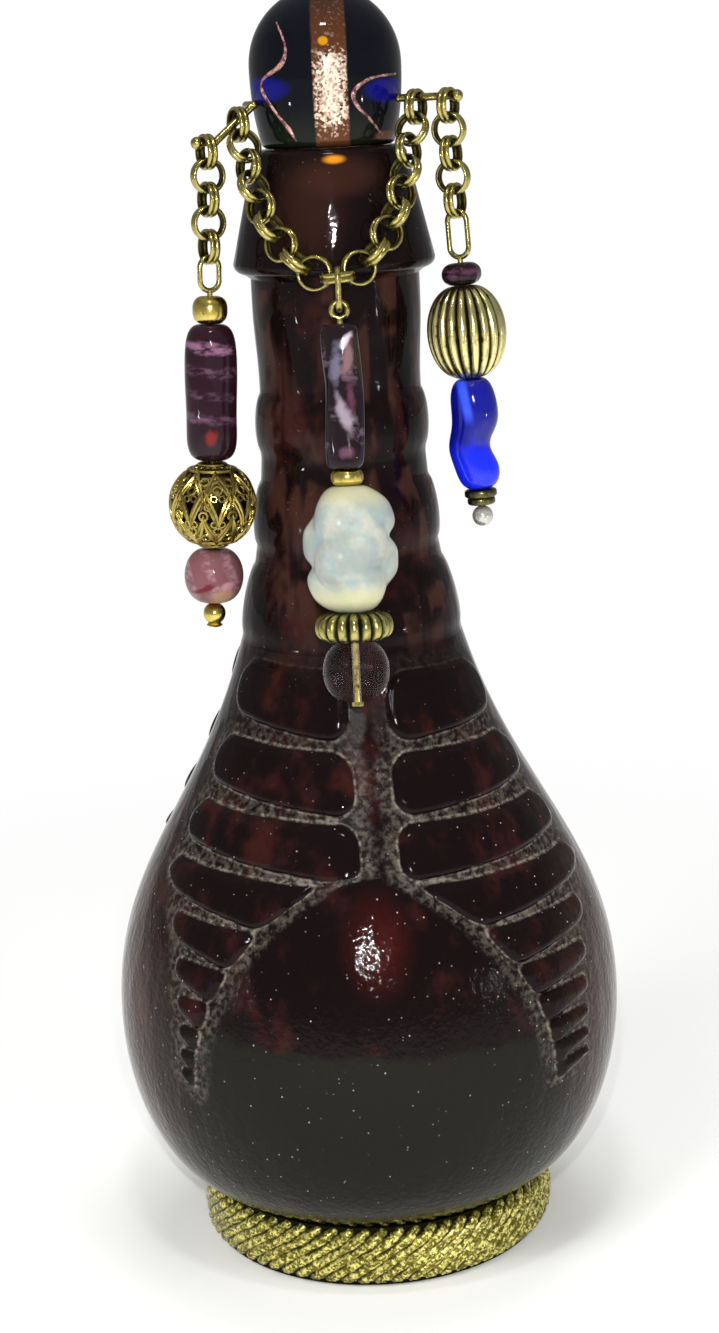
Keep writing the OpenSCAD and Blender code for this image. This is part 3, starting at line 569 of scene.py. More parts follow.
def cobalt_blue_glass():
    """Transparent cobalt glass, pressed by hand."""
    # Deep blue in the shaded half and bright blue where light gathers, low on the bead and in a top streak.
    material, tree, shader = new_material("cobalt_blue_glass")
    place = add(tree, ATTRIBUTE, attribute_name="local")["Vector"]
    x, y, z = add(tree, SPLIT, [place])
    clouds = add(tree, NOISE, {"Vector": place, "Scale": 1 / 3.0, "Detail": 2})["Fac"]
    level = add(tree, MATH, [clouds, 5.0, z], operation="MULTIPLY_ADD")[0]
    low = add(tree, RANGE, [level, 2.5, -1.5], interpolation_type="SMOOTHSTEP")[0]
    colour = add(tree, MIX, {"Factor": low, "A": linear("#080d7a"), "B": linear("#0f22d8")},
                 data_type="RGBA")["Result"]
    streak = add(tree, MATH, [z, 0.12, x], operation="MULTIPLY_ADD")[0]
    streak = add(tree, MATH, [add(tree, MATH, [streak, 0.6], operation="ADD")[0]], operation="ABSOLUTE")[0]
    streak = add(tree, RANGE, [streak, 0.9, 0.2], interpolation_type="SMOOTHSTEP")[0]
    upper = add(tree, RANGE, [z, 1.0, 3.5, 0.0, 0.7], interpolation_type="SMOOTHSTEP")[0]
    streak = add(tree, MATH, [streak, upper], operation="MULTIPLY")[0]
    colour = add(tree, MIX, {"Factor": streak, "A": colour, "B": linear("#3a5cff")}, data_type="RGBA")["Result"]
    fill(tree, shader, {"Base Color": colour, "Roughness": 0.06, "IOR": 1.5})
    return material


def cork_bark():
    """Natural cork, cut and sanded."""
    # Tan with dark pores and a soft grain.
    material, tree, shader = new_material("natural_cork")
    place = add(tree, "ShaderNodeTexCoord")["Object"]
    grain = add(tree, NOISE, {"Vector": place, "Scale": 1 / (1.4 * MM), "Detail": 4, "Roughness": 0.6})["Fac"]
    pores = add(tree, NOISE, {"Vector": place, "Scale": 1 / (0.9 * MM), "Detail": 2})["Fac"]
    pores = add(tree, RANGE, [pores, 0.62, 0.72], interpolation_type="SMOOTHSTEP")[0]
    colour = add(tree, MIX, {"Factor": grain, "A": linear("#a87c4c"), "B": linear("#c9a06c")},
                 data_type="RGBA")["Result"]
    colour = add(tree, MIX, {"Factor": pores, "A": colour, "B": linear("#5a3a20")}, data_type="RGBA")["Result"]
    fill(tree, shader, {"Base Color": colour, "Roughness": 0.8,
                        "Normal": add(tree, BUMP, {"Height": pores, "Distance": -0.1 * MM})[0]})
    return material


def silver_plate():
    """Silver-plated brass."""
    # Cloudy white shine with a grey tarnish.
    material, tree, shader = new_material("silver_plate")
    place = add(tree, ATTRIBUTE, attribute_name="local")["Vector"]
    clouds = add(tree, NOISE, {"Vector": place, "Scale": 1 / 0.8, "Detail": 2})["Fac"]
    colour = add(tree, MIX, {"Factor": clouds, "A": linear("#a8a69c"), "B": linear("#f2f1ec")},
                 data_type="RGBA")["Result"]
    fill(tree, shader, {"Base Color": colour, "Metallic": 0.75, "Roughness": 0.2})
    return material


# Sizes and colours


def length(name, about, default):
    return FloatProperty(name=name, description=about, default=default, min=0.0)


def hexcode(name, about, default):
    return StringProperty(name=name, description=about, default=default)


class GlassLook(bpy.types.PropertyGroup):
    """The bottle's outline and glass, in millimetres."""
    bottle_h: length("Height", "Height of the lip's top", 153.0)
    body_r: length("Belly radius", "Largest radius", 35.6)
    body_z: length("Belly height", "Height of the widest part", 34.0)
    shoulder_pull: length("Shoulder pull", "How far the belly stays upright", 29.0)
    neck_pull: length("Neck pull", "How far the neck stays upright below its narrowest part", 56.0)
    neck_r: length("Neck radius", "Radius at the narrowest", 10.9)
    collar_h: length("Collar height", "Narrow neck between lip and first ring", 14.5)
    collar_r: length("Collar radius", "Radius under the lip", 11.3)
    foot_r: length("Foot radius", "Glass foot inside the braid", 22.4)
    foot_h: length("Foot height", "Where the bowl leaves the foot", 9.35)
    wall: length("Wall", "Thickness of the glass", 2.6)
    base_t: length("Base", "Thickness of the base", 5.0)
    mouth_r: length("Mouth radius", "Radius of the mouth", 7.3)
    lip_h: length("Lip height", "Height of the lip", 16.0)
    lip_top_r: length("Lip top radius", "Radius at the top", 10.3)
    lip_low_r: length("Lip low radius", "Radius at the lower edge", 13.5)
    lip_round: length("Lip rounding", "Rounding of the lip's edges", 1.3)
    ring_out: length("Ring relief", "How far the neck rings stand out", 0.8)
    rib_out: length("Rib relief", "How far the ribs stand out", 1.0)
    rib_rows: IntProperty(name="Rib rows", description="Rows of ribs", default=10, min=1)
    rib_h: length("Rib height", "Height of the top rib", 8.0)
    rib_shrink: length("Rib shrink", "Each rib's height as a share of the one above", 0.85)
    rib_pitch: length("Rib pitch", "Step to the next rib as a share of a rib's height", 1.26)
    rib_drop: length("Rib drop", "Depth of the highest rib below the lip's top", 67.7)
    rib_droop: length("Rib droop", "How much lower a rib's lower edge is at the spine", 1.9)
    rib_tilt: length("Rib tilt", "How much the ribs rise on one side and fall on the other", 1.0)
    rib_edge: length("Rib edge", "Rounding of a rib's edge", 1.15)
    spine_half_w: length("Spine half width", "Plain strip between left and right ribs", 2.6)
    rib_reach: length("Rib reach", "Angle at which the highest ribs end", 70.0)
    rib_side: length("Rib side", "Sideways reach of the lower ribs", 27.5)
    relief_turn: length("Relief turn", "Angle by which the relief is turned", 5.0)
    arch_half: length("Arch", "Half angle of the plain arch", 43.0)
    arch_turn: length("Arch turn", "Angle by which the arch is turned back from the spine", 4.0)
    arch_low: length("Arch feet", "Height of the arch's feet", 29.0)
    arch_high: length("Arch crown", "Height of the arch's crown", 60.5)
    dark: hexcode("Dark", "Thick glass", "#100809")
    warm: hexcode("Warm", "Glass with light behind it", "#301512")
    neck: hexcode("Neck", "Glass of the neck", "#36201a")
    # Painted light at the left and right sides of the belly
    side: hexcode("Side", "Glass at the sides", "#4b3428")
    low: hexcode("Low", "Glass of the lower belly", "#171610")
    groove: hexcode("Groove", "Dull glass between the ribs", "#514b43")
    # Painted highlight lines along the rib edges
    edge: hexcode("Edge", "Light line along the ribs", "#736a61")
    fleck: hexcode("Fleck", "Specks of the skin that catch the light", "#bdb4ac")
    glow: hexcode("Glow", "Lit glass of the lip", "#40251b")
    amber: hexcode("Amber", "Light caught under the stopper", "#c47a1c")
    ember: hexcode("Ember", "Red glow deep in the belly", "#54140c")
    roughness: length("Roughness", "Roughness of the glass", 0.06)
    skin_mm: length("Skin", "Depth of the pebbled skin", 0.1)


class BraidLook(bpy.types.PropertyGroup):
    """The braid round the foot, in millimetres."""
    radius: length("Radius", "Outer radius", 25.4)
    height: length("Height", "Height of the braid", 9.2)
    strands: IntProperty(name="Strands", description="Number of strands", default=66, min=8)
    strand_r: length("Strand radius", "Radius of a strand", 0.85)
    knots: length("Knots", "Thick places of a strand from edge to edge", 11.0)
    slant: length("Slant", "Turn of a strand from bottom to top, in degrees", 32.0)
    bright: hexcode("Bright", "Wires that catch the light", "#f4e98a")
    shadow: hexcode("Shadow", "Wires in shade", "#6b6416")
    # Painted shade between the strands
    deep: hexcode("Deep", "Between the strands", "#1e1c0a")


class DomeLook(bpy.types.PropertyGroup):
    """The dome bead's colours and its copper band, in millimetres."""
    night: hexcode("Night", "Dark cobalt", "#090a11")
    moss: hexcode("Moss", "Thin glass at the lower rim", "#12160f")
    cobalt: hexcode("Cobalt", "Glowing cobalt", "#0b0b62")
    copper: hexcode("Copper", "Aventurine in shade", "#5a3520")
    spark: hexcode("Spark", "Aventurine that sparkles", "#fbe0cb")
    thread: hexcode("Thread", "Thin copper threads", "#c79a8d")
    amber: hexcode("Amber", "Ring of light in the band", "#c98a1a")
    band_x: length("Band place", "Sideways place of the band", 0.6)
    band_half: length("Band half width", "Half the width of the band", 2.2)


class MetalLook(bpy.types.PropertyGroup):
    """Colours of the brass."""
    bright: hexcode("Bright", "Polished brass", "#bdb06a")
    shadow: hexcode("Shadow", "Aged brass", "#40391c")
    gold: hexcode("Gold", "Bright gilt brass", "#dcc668")


class StageLook(bpy.types.PropertyGroup):
    """Camera, floor and lamps."""
    eye: FloatVectorProperty(name="Eye", description="Place of the camera, in metres",
                             default=(0.000814, -0.310, 0.1595), subtype="TRANSLATION")
    pitch: FloatProperty(name="Pitch", description="Angle of the view below level", default=14.0093)
    roll: FloatProperty(name="Roll", description="Turn of the picture", default=-2.7)
    lens: FloatProperty(name="Lens", description="Focal length for a 36 mm sensor", default=61.86)
    lamp: FloatProperty(name="Lamp", description="Strength of all lamps", default=1.0)
    shine: FloatProperty(name="Shine", description="How white gloss sees the surroundings", default=0.22)


# Bottle


def bezier(a, b, c, d, t):
    return (1 - t) ** 3 * a + 3 * (1 - t) ** 2 * t * b + 3 * (1 - t) * t * t * c + t ** 3 * d


class Outline:
    """The glass outline: radius by height, with the neck rings and the ribs."""
    far = 9.0

    def __init__(self, look):
        self.look = look
        self.lip_z = look.bottle_h - look.lip_h
        self.narrow_z = self.lip_z - look.collar_h
        t = np.linspace(0, 1, 200)
        bowl_pull, bowl_flare = 14.4, 6.6
        bowl_z = bezier(look.foot_h, look.foot_h, look.body_z - bowl_pull, look.body_z, t)
        bowl_r = bezier(look.foot_r, look.foot_r + bowl_flare, look.body_r, look.body_r, t)
        top_z = bezier(look.body_z, look.body_z + look.shoulder_pull, self.narrow_z - look.neck_pull,
                       self.narrow_z, t)
        top_r = bezier(look.body_r, look.body_r, look.neck_r, look.neck_r, t)
        self.z = np.concatenate([bowl_z, top_z[1:]])
        self.r = np.concatenate([bowl_r, top_r[1:]])
        # Neck rings: drop of the upper edge below the lip's top, then height
        self.rings = [(32.2, 7.8), (44.0, 8.6), (55.4, 9.4)]
        self.ribs = []
        top = look.bottle_h - look.rib_drop
        for i in range(look.rib_rows):
            h = look.rib_h * look.rib_shrink ** i
            self.ribs.append((top, h))
            top -= look.rib_pitch * h

    def plain(self, z):
        return float(np.interp(z, self.z, self.r))

    def side(self, z):
        """Radius with neck rings and collar, without the ribs."""
        look = self.look
        if z > self.narrow_z:
            r = look.neck_r + (look.collar_r - look.neck_r) * math.sin(
                math.pi / 2 * min(1, (z - self.narrow_z) / (0.7 * look.collar_h))) ** 2
        else:
            r = self.plain(z)
        return r + look.ring_out * max(pillow((look.bottle_h - drop - z) / h) for drop, h in self.rings)

    def from_rib(self, turn, z):
        """Distance to the edge of the nearest rib at an angle from the front, in degrees: negative on it."""
        look = self.look
        from_spine = (turn - look.relief_turn + 180) % 360 - 180
        sway = math.sin(math.radians(from_spine))
        z += look.rib_tilt * sway
        a = min(abs(from_spine), 180 - abs(from_spine))
        r = self.plain(z)
        inner = math.degrees(math.asin(min(1, look.spine_half_w / r)))
        if z < look.arch_high:
            share = max(0, (z - look.arch_low) / (look.arch_high - look.arch_low))
            inner = max(inner, look.arch_half * math.sqrt(1 - share ** 2) - math.copysign(look.arch_turn, sway))
        outer = min(look.rib_reach, math.degrees(math.asin(min(1, look.rib_side / r))))
        across = math.radians(min(a - inner, outer - a)) * r
        along = min(1, max(0, (a - inner) / max(1, outer - inner)))
        nearest = self.far
        for top, h in self.ribs:
            low = top - h + look.rib_droop * (along - 0.5)
            upright = min(top - z, z - low)
            corner = 0.42 * h
            if upright < -self.far:
                continue
            off_x, off_z = corner - across, corner - upright
            edge = math.hypot(max(off_x, 0), max(off_z, 0)) + min(max(off_x, off_z), 0) - corner
            nearest = min(nearest, edge)
        return nearest


def pillow(u):
    return math.sin(math.pi * u) ** 0.55 if 0 < u < 1 else 0.0


def arc(centre_r, centre_z, radius, start, end, steps):
    """Points of an arc in the outline's plane, angles in degrees."""
    return [(centre_r + radius * math.cos(math.radians(a)), centre_z + radius * math.sin(math.radians(a)))
            for a in np.linspace(start, end, steps)]


class GENIE_OT_bottle_glass(bpy.types.Operator):
    """Models the ribbed glass with its hollow inside"""
    bl_idname = "genie.bottle_glass"
    bl_label = "Bottle glass"

    def execute(self, context):
        look = context.scene.genie_glass
        shape = Outline(look)
        ribs_low, ribs_high, around = 29.0, 87.5, 356
        heights = list(np.arange(look.foot_h + 0.25, ribs_low, 1.2)) + list(np.arange(ribs_low, ribs_high, 0.42))
        heights += list(np.arange(ribs_high, shape.lip_z - look.lip_round / 2, 0.8))
        outline = [(0, 0.4), (look.foot_r - 4, 0.4), (look.foot_r - 1, 0), (look.foot_r, 1),
                   (look.foot_r, look.foot_h)]
        outline += [(shape.side(z), z) for z in heights]
        outline += arc(look.lip_low_r - look.lip_round, shape.lip_z + look.lip_round, look.lip_round, -90, 0, 6)
        outline += arc(look.lip_top_r - look.lip_round, look.bottle_h - look.lip_round, look.lip_round, 0, 90, 6)
        outline += [(look.mouth_r + 0.6, look.bottle_h), (look.mouth_r, look.bottle_h - 0.6)]
        inside = np.arange(shape.narrow_z, look.foot_h + 7, -4)
        outline += [(look.mouth_r, shape.narrow_z + 4)]
        outline += [(max(look.mouth_r, shape.plain(z) - look.wall), z) for z in inside]
        outline += [(look.foot_r - 3, look.foot_h + 0.6), (look.foot_r - 6, look.base_t), (0, look.base_t)]
        bm = bmesh.new()
        lathe(bm, outline, around)
        rib = bm.verts.layers.float.new("rib")
        for v in bm.verts:
            r = v.co.xy.length
            v[rib] = shape.far
            if ribs_low < v.co.z < ribs_high and r > shape.plain(v.co.z) - 0.5:
                edge = shape.from_rib(math.degrees(math.atan2(v.co.x, -v.co.y)), v.co.z)
                v[rib] = edge
                if edge < 0:
                    climb = min(1, -edge / look.rib_edge)
                    v.co.xy *= (r + look.rib_out * math.sqrt(1 - (1 - climb) ** 2)) / r
        add_piece("ribbed_glass", bm, "bottle", amethyst_glass(look), ["bottle_glass"])
        return {"FINISHED"}


class GENIE_OT_foot_braid(bpy.types.Operator):
    """Models the woven trim round the foot, strand by strand"""
    bl_idname = "genie.foot_braid"
    bl_label = "Foot braid"

    def execute(self, context):
        look = context.scene.genie_braid
        inner = context.scene.genie_glass.foot_r + 0.2
        centre_r = look.radius - look.strand_r * 1.1
        round_r = 1.6
        low, high = look.strand_r * 1.1, look.height - look.strand_r * 1.1
        rim = ([(inner + 0.9, low, 0)] + [(r, z, 0) for r, z in arc(centre_r - round_r, low + round_r, round_r, -90, 0, 4)]
               + [(r, z, 0) for r, z in arc(centre_r - round_r, high - round_r, round_r, 0, 90, 4)]
               + [(inner + 0.9, high, 0)])
        path = []
        for r, z, _ in smooth_path(rim, 4):
            turn = math.radians(look.slant) * (z - look.height / 2) / look.height
            path.append((r * math.sin(turn), -r * math.cos(turn), z))

        def build(strand):
            wire(strand, path, lambda t: look.strand_r * (1 + 0.1 * math.sin(FULL_TURN * look.knots * t)), sides=10)
            # How far a point sinks below the braid's outer face, where the thread material paints shade
            groove = strand.verts.layers.float.new("groove")
            for v in strand.verts:
                off_z = max(low + round_r - v.co.z, v.co.z - high + round_r, 0)
                out = math.hypot(max(v.co.xy.length - centre_r + round_r, 0), off_z) - round_r
                v[groove] = min(1, max(0, (0.86 * look.strand_r - out) / (0.3 * look.strand_r)))
        strand = mesh_of(build)
        bm = bmesh.new()
        bm.verts.layers.float.new("groove")
        for i in range(look.strands):
            stamp(bm, strand, Matrix.Rotation(FULL_TURN * i / look.strands, 4, "Z"))
        add_piece("braid_strands", bm, "bottle", gold_thread(look), ["foot_braid"])
        # A dark core behind the strands in the painted shade colour, so the gaps between them read as shade
        core = bmesh.new()
        lathe(core, [(inner, 0.3), (centre_r - 0.3, 0.3), (centre_r - 0.1, look.height / 2),
                     (centre_r - 0.3, look.height - 0.3), (inner, look.height - 0.3)], 96, closed=True)
        dark = aged_brass("braid_core_in_painted_shade", look.deep, look.deep, 0.6)
        add_piece("braid_core", core, "bottle", dark, ["foot_braid"])
        return {"FINISHED"}


# Stopper


class GENIE_OT_stopper(bpy.types.Operator):
    """Models the dome bead and its copper threads, and finishes the cork, the pin and the yoke"""
    bl_idname = "genie.stopper"
    bl_label = "Stopper"

    def execute(self, context):
        metal = context.scene.genie_metal
        look = context.scene.genie_dome
        low, high = (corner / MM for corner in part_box("dome_bead"))
        radius = high.x
        waist = high.z - radius
        narrow = 1.3
        bore = 0.6

        def side(z):
            """Radius of the dome at a height."""
            if z > waist:
                return math.sqrt(max(0, radius ** 2 - (z - waist) ** 2))
            return radius - narrow * (1 - (z - low.z) / (waist - low.z)) ** 2.2

        outline = [(bore, low.z), (side(low.z) - 0.4, low.z)]
        outline += [(side(z), z) for z in np.linspace(low.z + 0.4, waist, 14)]
        outline += arc(0, waist, radius, 4, 86.5, 24)
        bm = bmesh.new()
        lathe(bm, outline + [(bore, high.z)], 96, closed=True)
        add_piece("dome_glass", bm, "stopper", cobalt_dome(look), ["dome_bead"])

        # Threads on the front: sideways place and height, with the thickness of the thread there
        left = [(-5.9, 168.9, 0.12), (-4.9, 165.8, 0.2), (-5.5, 163.6, 0.42), (-8.0, 161.9, 0.2),
                (-8.0, 160.2, 0.3), (-6.3, 157.4, 0.22), (-4.9, 155.6, 0.34), (-4.1, 154.0, 0.12)]
        right = [(9.0, 161.9, 0.16), (5.7, 161.4, 0.2), (3.6, 160.0, 0.36), (3.7, 158.4, 0.3),
                 (5.4, 156.4, 0.2), (7.0, 154.3, 0.16)]
        bm = bmesh.new()
        for chosen in (left, right):
            path = smooth_path(chosen, 6)
            sink = 0.6
            points = []
            for x, z, thick in path:
                r = side(z) + 0.06 - sink * thick
                points.append((x, -math.sqrt(r ** 2 - x ** 2), z))
            wire(bm, points, lambda t: path[round(t * (len(path) - 1))].z, sides=8)
        add_piece("dome_threads", bm, "stopper", copper_thread(look), ["dome_bead"])

        brass = drawn_brass(metal)
        for node in ("stopper_pin", "yoke_wire", "left_eye_pin", "right_eye_pin", "centre_hook", "centre_pin"):
            repaint(node, brass)
        repaint("cork", cork_bark())
        return {"FINISHED"}


class GENIE_OT_chains(bpy.types.Operator):
    """Models every ring of the chains where the solid part has it"""
    bl_idname = "genie.chains"
    bl_label = "Chains"

    def execute(self, context):
        metal = context.scene.genie_metal
        brass = aged_brass("aged_chain_brass", metal.bright, metal.shadow, 0.24)
        strip = 1.32
        for node, body in (("neck_chain", "stopper"), ("left_chain", "left_chain"), ("right_chain", "right_chain")):
            found = rings_of(node)
            _, ring_r, wire_r = found[0]
            ring = ring_mesh(ring_r, wire_r, wire_r * strip)
            bm = bmesh.new()
            bm.verts.layers.float.new("groove")
            for place, _, _ in found:
                stamp(bm, ring, place)
            add_piece(node + "_rings", bm, body, brass, [node])
        return {"FINISHED"}


# Beads


def bulge(t, end, power):
    """Radius share of a bead at the way along t, with flat ends of the share end."""
    return end + (1 - end) * (1 - abs(2 * t - 1) ** power) ** 0.5


def bead(bm, radius, height, end, power, steps=48, rows=24, hole=0.45):
    """A bead of revolution with a hole along Z, centred on its middle."""
    outline = [(max(hole + 0.05, radius * bulge(t, end, power)), height * (t - 0.5))
               for t in (0.5 - 0.5 * np.cos(np.linspace(0, math.pi, rows)))]
    lathe(bm, [(hole, -height / 2)] + outline + [(hole, height / 2)], steps, closed=True)


def reshape(bm, rule, hole=0.45):
    """Moves each point outside the hole; rule gives a radius factor, a shift and a groove mark."""
    groove = bm.verts.layers.float.new("groove")
    for v in bm.verts:
        r = v.co.xy.length
        if r < hole + 0.04:
            continue
        factor, shift, mark = rule(math.atan2(v.co.y, v.co.x), v.co.z, r)
        v.co.xy = v.co.xy * factor
        v.co.x += shift
        v[groove] = mark


def on_sphere(radius, turn, rise):
    """A point of a sphere, by its turn and its rise in radians."""
    return (radius * math.cos(rise) * math.cos(turn), radius * math.cos(rise) * math.sin(turn),
            radius * math.sin(rise))


def filigree(bm, radius, holes):
    """An openwork ball: rows of pointed arches of flat wire, with clusters of small rings between them, round a
    near-black inner ball in the painted shade of the hollow inside.
    """
    groove = bm.verts.layers.float.new("groove")
    wire_r = 0.27
    skin = radius - wire_r
    arches = 9
    count = 14 * arches
    # Rows of arches: rise of feet and of points in degrees, share of a turn and thickness
    rows = ((-20, 26, 0.0, 1.1), (-30, 14, 0.0, 0.8), (12, 54, 0.5, 1.1), (4, 42, 0.5, 0.8),
            (-14, -56, 0.5, 1.1), (-6, -44, 0.5, 0.8))
    for feet, points, shift, thick in rows:
        path = []
        for i in range(count):
            turn = i / count * arches + shift
            wave = (1 - abs(2 * (turn % 1) - 1)) ** 0.7
            path.append(on_sphere(skin, FULL_TURN * i / count, math.radians(feet + (points - feet) * wave)))
        wire(bm, path, wire_r * thick, sides=6, closed=True)
    for rise in (-72, -57, 57, 72):
        pole = [on_sphere(skin, FULL_TURN * i / 24, math.radians(rise)) for i in range(24)]
        wire(bm, pole, wire_r * 1.1, sides=6, closed=True)
    ring = ring_mesh(0.56, 0.22, 0.24, around=10, sides=6)
    spots = [(rise, (i + shift) / arches, 1.0) for i in range(arches)
             for rise, shift in ((-8, 0.5), (26, 0.0), (-30, 0.0), (38, 0.5), (-42, 0.5))]
    spots += [(rise, (i + shift) / arches, 0.72) for i in range(arches)
              for rise, shift in ((4, 0.36), (4, 0.64), (40, 0.14), (40, 0.86), (-42, 0.14), (-42, 0.86),
                                  (15, 0.86), (15, 0.14), (-20, 0.86), (-20, 0.14), (63, 0.0), (63, 0.5),
                                  (-63, 0.0), (-63, 0.5))]
    for rise, turn, size in spots:
        spot = Vector(on_sphere(skin - 0.05, FULL_TURN * turn, math.radians(rise)))
        tilt = Vector((0, 0, 1)).rotation_difference(spot.normalized()).to_matrix().to_4x4()
        stamp(bm, ring, Matrix.Translation(spot) @ tilt @ Matrix.Scale(size, 4))
    # Darker with depth below the wire skin
    for v in bm.verts:
        v[groove] = min(1, max(0, (skin + 0.12 - v.co.length) / wire_r))
    # Painted shade: a near-black inner ball fills the hollow seen through the openwork
    inner_r = radius - 1.0
    bead(bm, inner_r, 2 * math.sqrt(inner_r ** 2 - holes ** 2), holes / inner_r, 2, steps=40)
    for v in bm.verts:
        if v.co.length < inner_r + 0.1:
            v[groove] = 1.0


class GENIE_OT_left_string(bpy.types.Operator):
    """Models the beads of the left string"""
    bl_idname = "genie.left_string"
    bl_label = "Left string"

    def execute(self, context):
        metal = context.scene.genie_metal
        string = string_place("filigree_spin")
        gilt = aged_brass("gilt_brass", metal.gold, metal.shadow, 0.2)

        place, height, radius = span("left_spacer", string)
        bm = bmesh.new()
        bead(bm, radius, height, 0.42, 2.6)
        add_piece("gilt_spacer", bm, "left_string", gilt, ["left_spacer"], place)

        place, height, radius = span("left_tube_bead", string)
        bm = bmesh.new()
        bead(bm, radius, height, 0.45, 7, rows=40)
        reshape(bm, lambda a, z, r: (1 + 0.02 * math.sin(2 * a + z * 0.5), 0, 0))
        # The lone spot is a painted red glow of light near the bead's lower end
        glass = wound_glass("wound_plum_glass", {
            "dark": "#231019", "light": "#7e5872", "lean": 0.12, "turn_mm": 3.1, "swirl_mm": 2.6, "warp": 4,
            "share": 0.62, "bands": ((5.8, 1.9, 1.0), (2.6, 1.8, 0.4), (-2.2, 3.4, 0.5)),
            "spots": (((0.1, -3.3, -5.6), (0.9, 2, 1.5), 0, "#6e1f1c"),), "milk": 0.0})
        add_piece("tube_bead", bm, "left_string", glass, ["left_tube_bead"], place)

        place, height, radius = span("left_filigree_ball", string)
        bm = bmesh.new()
        filigree(bm, radius, 0.3 * radius)
        worn = aged_brass("filigree_brass_oxide_and_shade", "#b3a058", "#1f1a0a", 0.28)
        add_piece("filigree_ball", bm, "filigree_ball", worn, ["left_filigree_ball"], place)

        place, height, radius = span("left_pink_bead", string)
        bm = bmesh.new()
        bead(bm, radius, height, 0.35, 2)
        pink = wound_glass("streaked_pink_glass", {
            "dark": "#724a4f", "light": "#96737a", "lean": 3.0, "turn_mm": 9.0, "swirl_mm": 3.4, "warp": 4,
            "share": 0.7, "bands": (), "milk": 0.25,
            "spots": (((1.4, -3, -2.6), (2.2, 3, 1.3), 0, "#a58468"), ((1.9, -3, -0.9), (1.1, 3, 0.7), -20, "#ab7c84"),
                      ((-1.1, -3.4, -1.3), (2.3, 3, 0.5), -22, "#641022"))})
        add_piece("pink_bead", bm, "left_string", pink, ["left_pink_bead"], place)

        place, height, radius = span("left_end_ball", string)
        bm = bmesh.new()
        ball(bm, (0, 0, 0), radius, 3)
        lathe(bm, [(0, -radius + 0.25), (0.55 * radius, -radius + 0.2), (0.72 * radius, -radius - 0.1),
                   (0.55 * radius, -radius - 0.3), (0, -radius - 0.2)], 24)
        add_piece("gilt_end_ball", bm, "left_string", gilt, ["left_end_ball"], place)
        return {"FINISHED"}


class GENIE_OT_right_string(bpy.types.Operator):
    """Models the beads of the right string"""
    bl_idname = "genie.right_string"
    bl_label = "Right string"

    def execute(self, context):
        metal = context.scene.genie_metal
        string = string_place("melon_spin")

        place, height, radius = span("right_small_bead", string)
        bm = bmesh.new()
        bead(bm, radius, height, 0.4, 2.2, rows=16)
        reshape(bm, lambda a, z, r: (1 - 0.07 * abs(math.sin(4 * a)), 0, 0))
        plum = wound_glass("pressed_plum_glass", {
            "dark": "#170b12", "light": "#4d2c40", "lean": 0.0, "turn_mm": 4.0, "swirl_mm": 2.0, "warp": 3,
            "share": 0.5, "bands": (), "spots": (), "milk": 0.0})
        add_piece("small_plum_bead", bm, "right_string", plum, ["right_small_bead"], place)

        place, height, radius = span("right_melon_bead", string)
        ridges = 20
        bm = bmesh.new()
        bead(bm, radius, height, 0.22, 2, steps=ridges * 8, rows=40)

        def melon(a, z, r):
            cut = abs(math.cos(ridges / 2 * a)) ** 4
            fade = min(1, r / radius * 1.2)
            return 1 - 0.1 * cut * fade, 0, cut
        reshape(bm, melon)
        gilt = aged_brass("corrugated_brass", "#f6eaa6", "#2a210c", 0.22)
        add_piece("melon_bead", bm, "melon_bead", gilt, ["right_melon_bead"], place)

        place, height, radius = span("right_blue_bead", string)
        bm = bmesh.new()
        bead(bm, 3.1, height, 0.4, 4.5, rows=40)

        def kidney(a, z, r):
            waist = math.exp(-((z + 1.6) / 2.2) ** 2)
            pinch = 1 - 0.2 * waist * (0.6 + 0.4 * math.cos(a))
            return pinch, -0.55 * waist + 0.25 * math.sin(z * 0.5) * (1 - abs(2 * z / height)), 0
        reshape(bm, kidney)
        add_piece("blue_bead", bm, "right_string", cobalt_blue_glass(), ["right_blue_bead"], place)

        place, height, radius = span("right_cap", string)
        bm = bmesh.new()
        bead(bm, radius, height * 0.55, 0.6, 4, rows=14)
        bmesh.ops.translate(bm, verts=bm.verts, vec=(0, 0, height * 0.22))
        skirt = bmesh.new()
        bead(skirt, radius * 0.86, height * 0.5, 0.6, 4, rows=14)
        skirt_mesh = bpy.data.meshes.new("stamp")
        skirt.to_mesh(skirt_mesh)
        skirt.free()
        stamp(bm, skirt_mesh, Matrix.Translation((0, 0, -height * 0.24)))
        dark = aged_brass("oxidised_brass", "#6a6440", "#1b1a10", 0.3)
        add_piece("dark_cap", bm, "right_string", dark, ["right_cap"], place)

        place, height, radius = span("right_end_ball", string)
        bm = bmesh.new()
        ball(bm, (0, 0, 0), radius, 3)
        add_piece("silver_ball", bm, "right_string", silver_plate(), ["right_end_ball"], place)
        return {"FINISHED"}


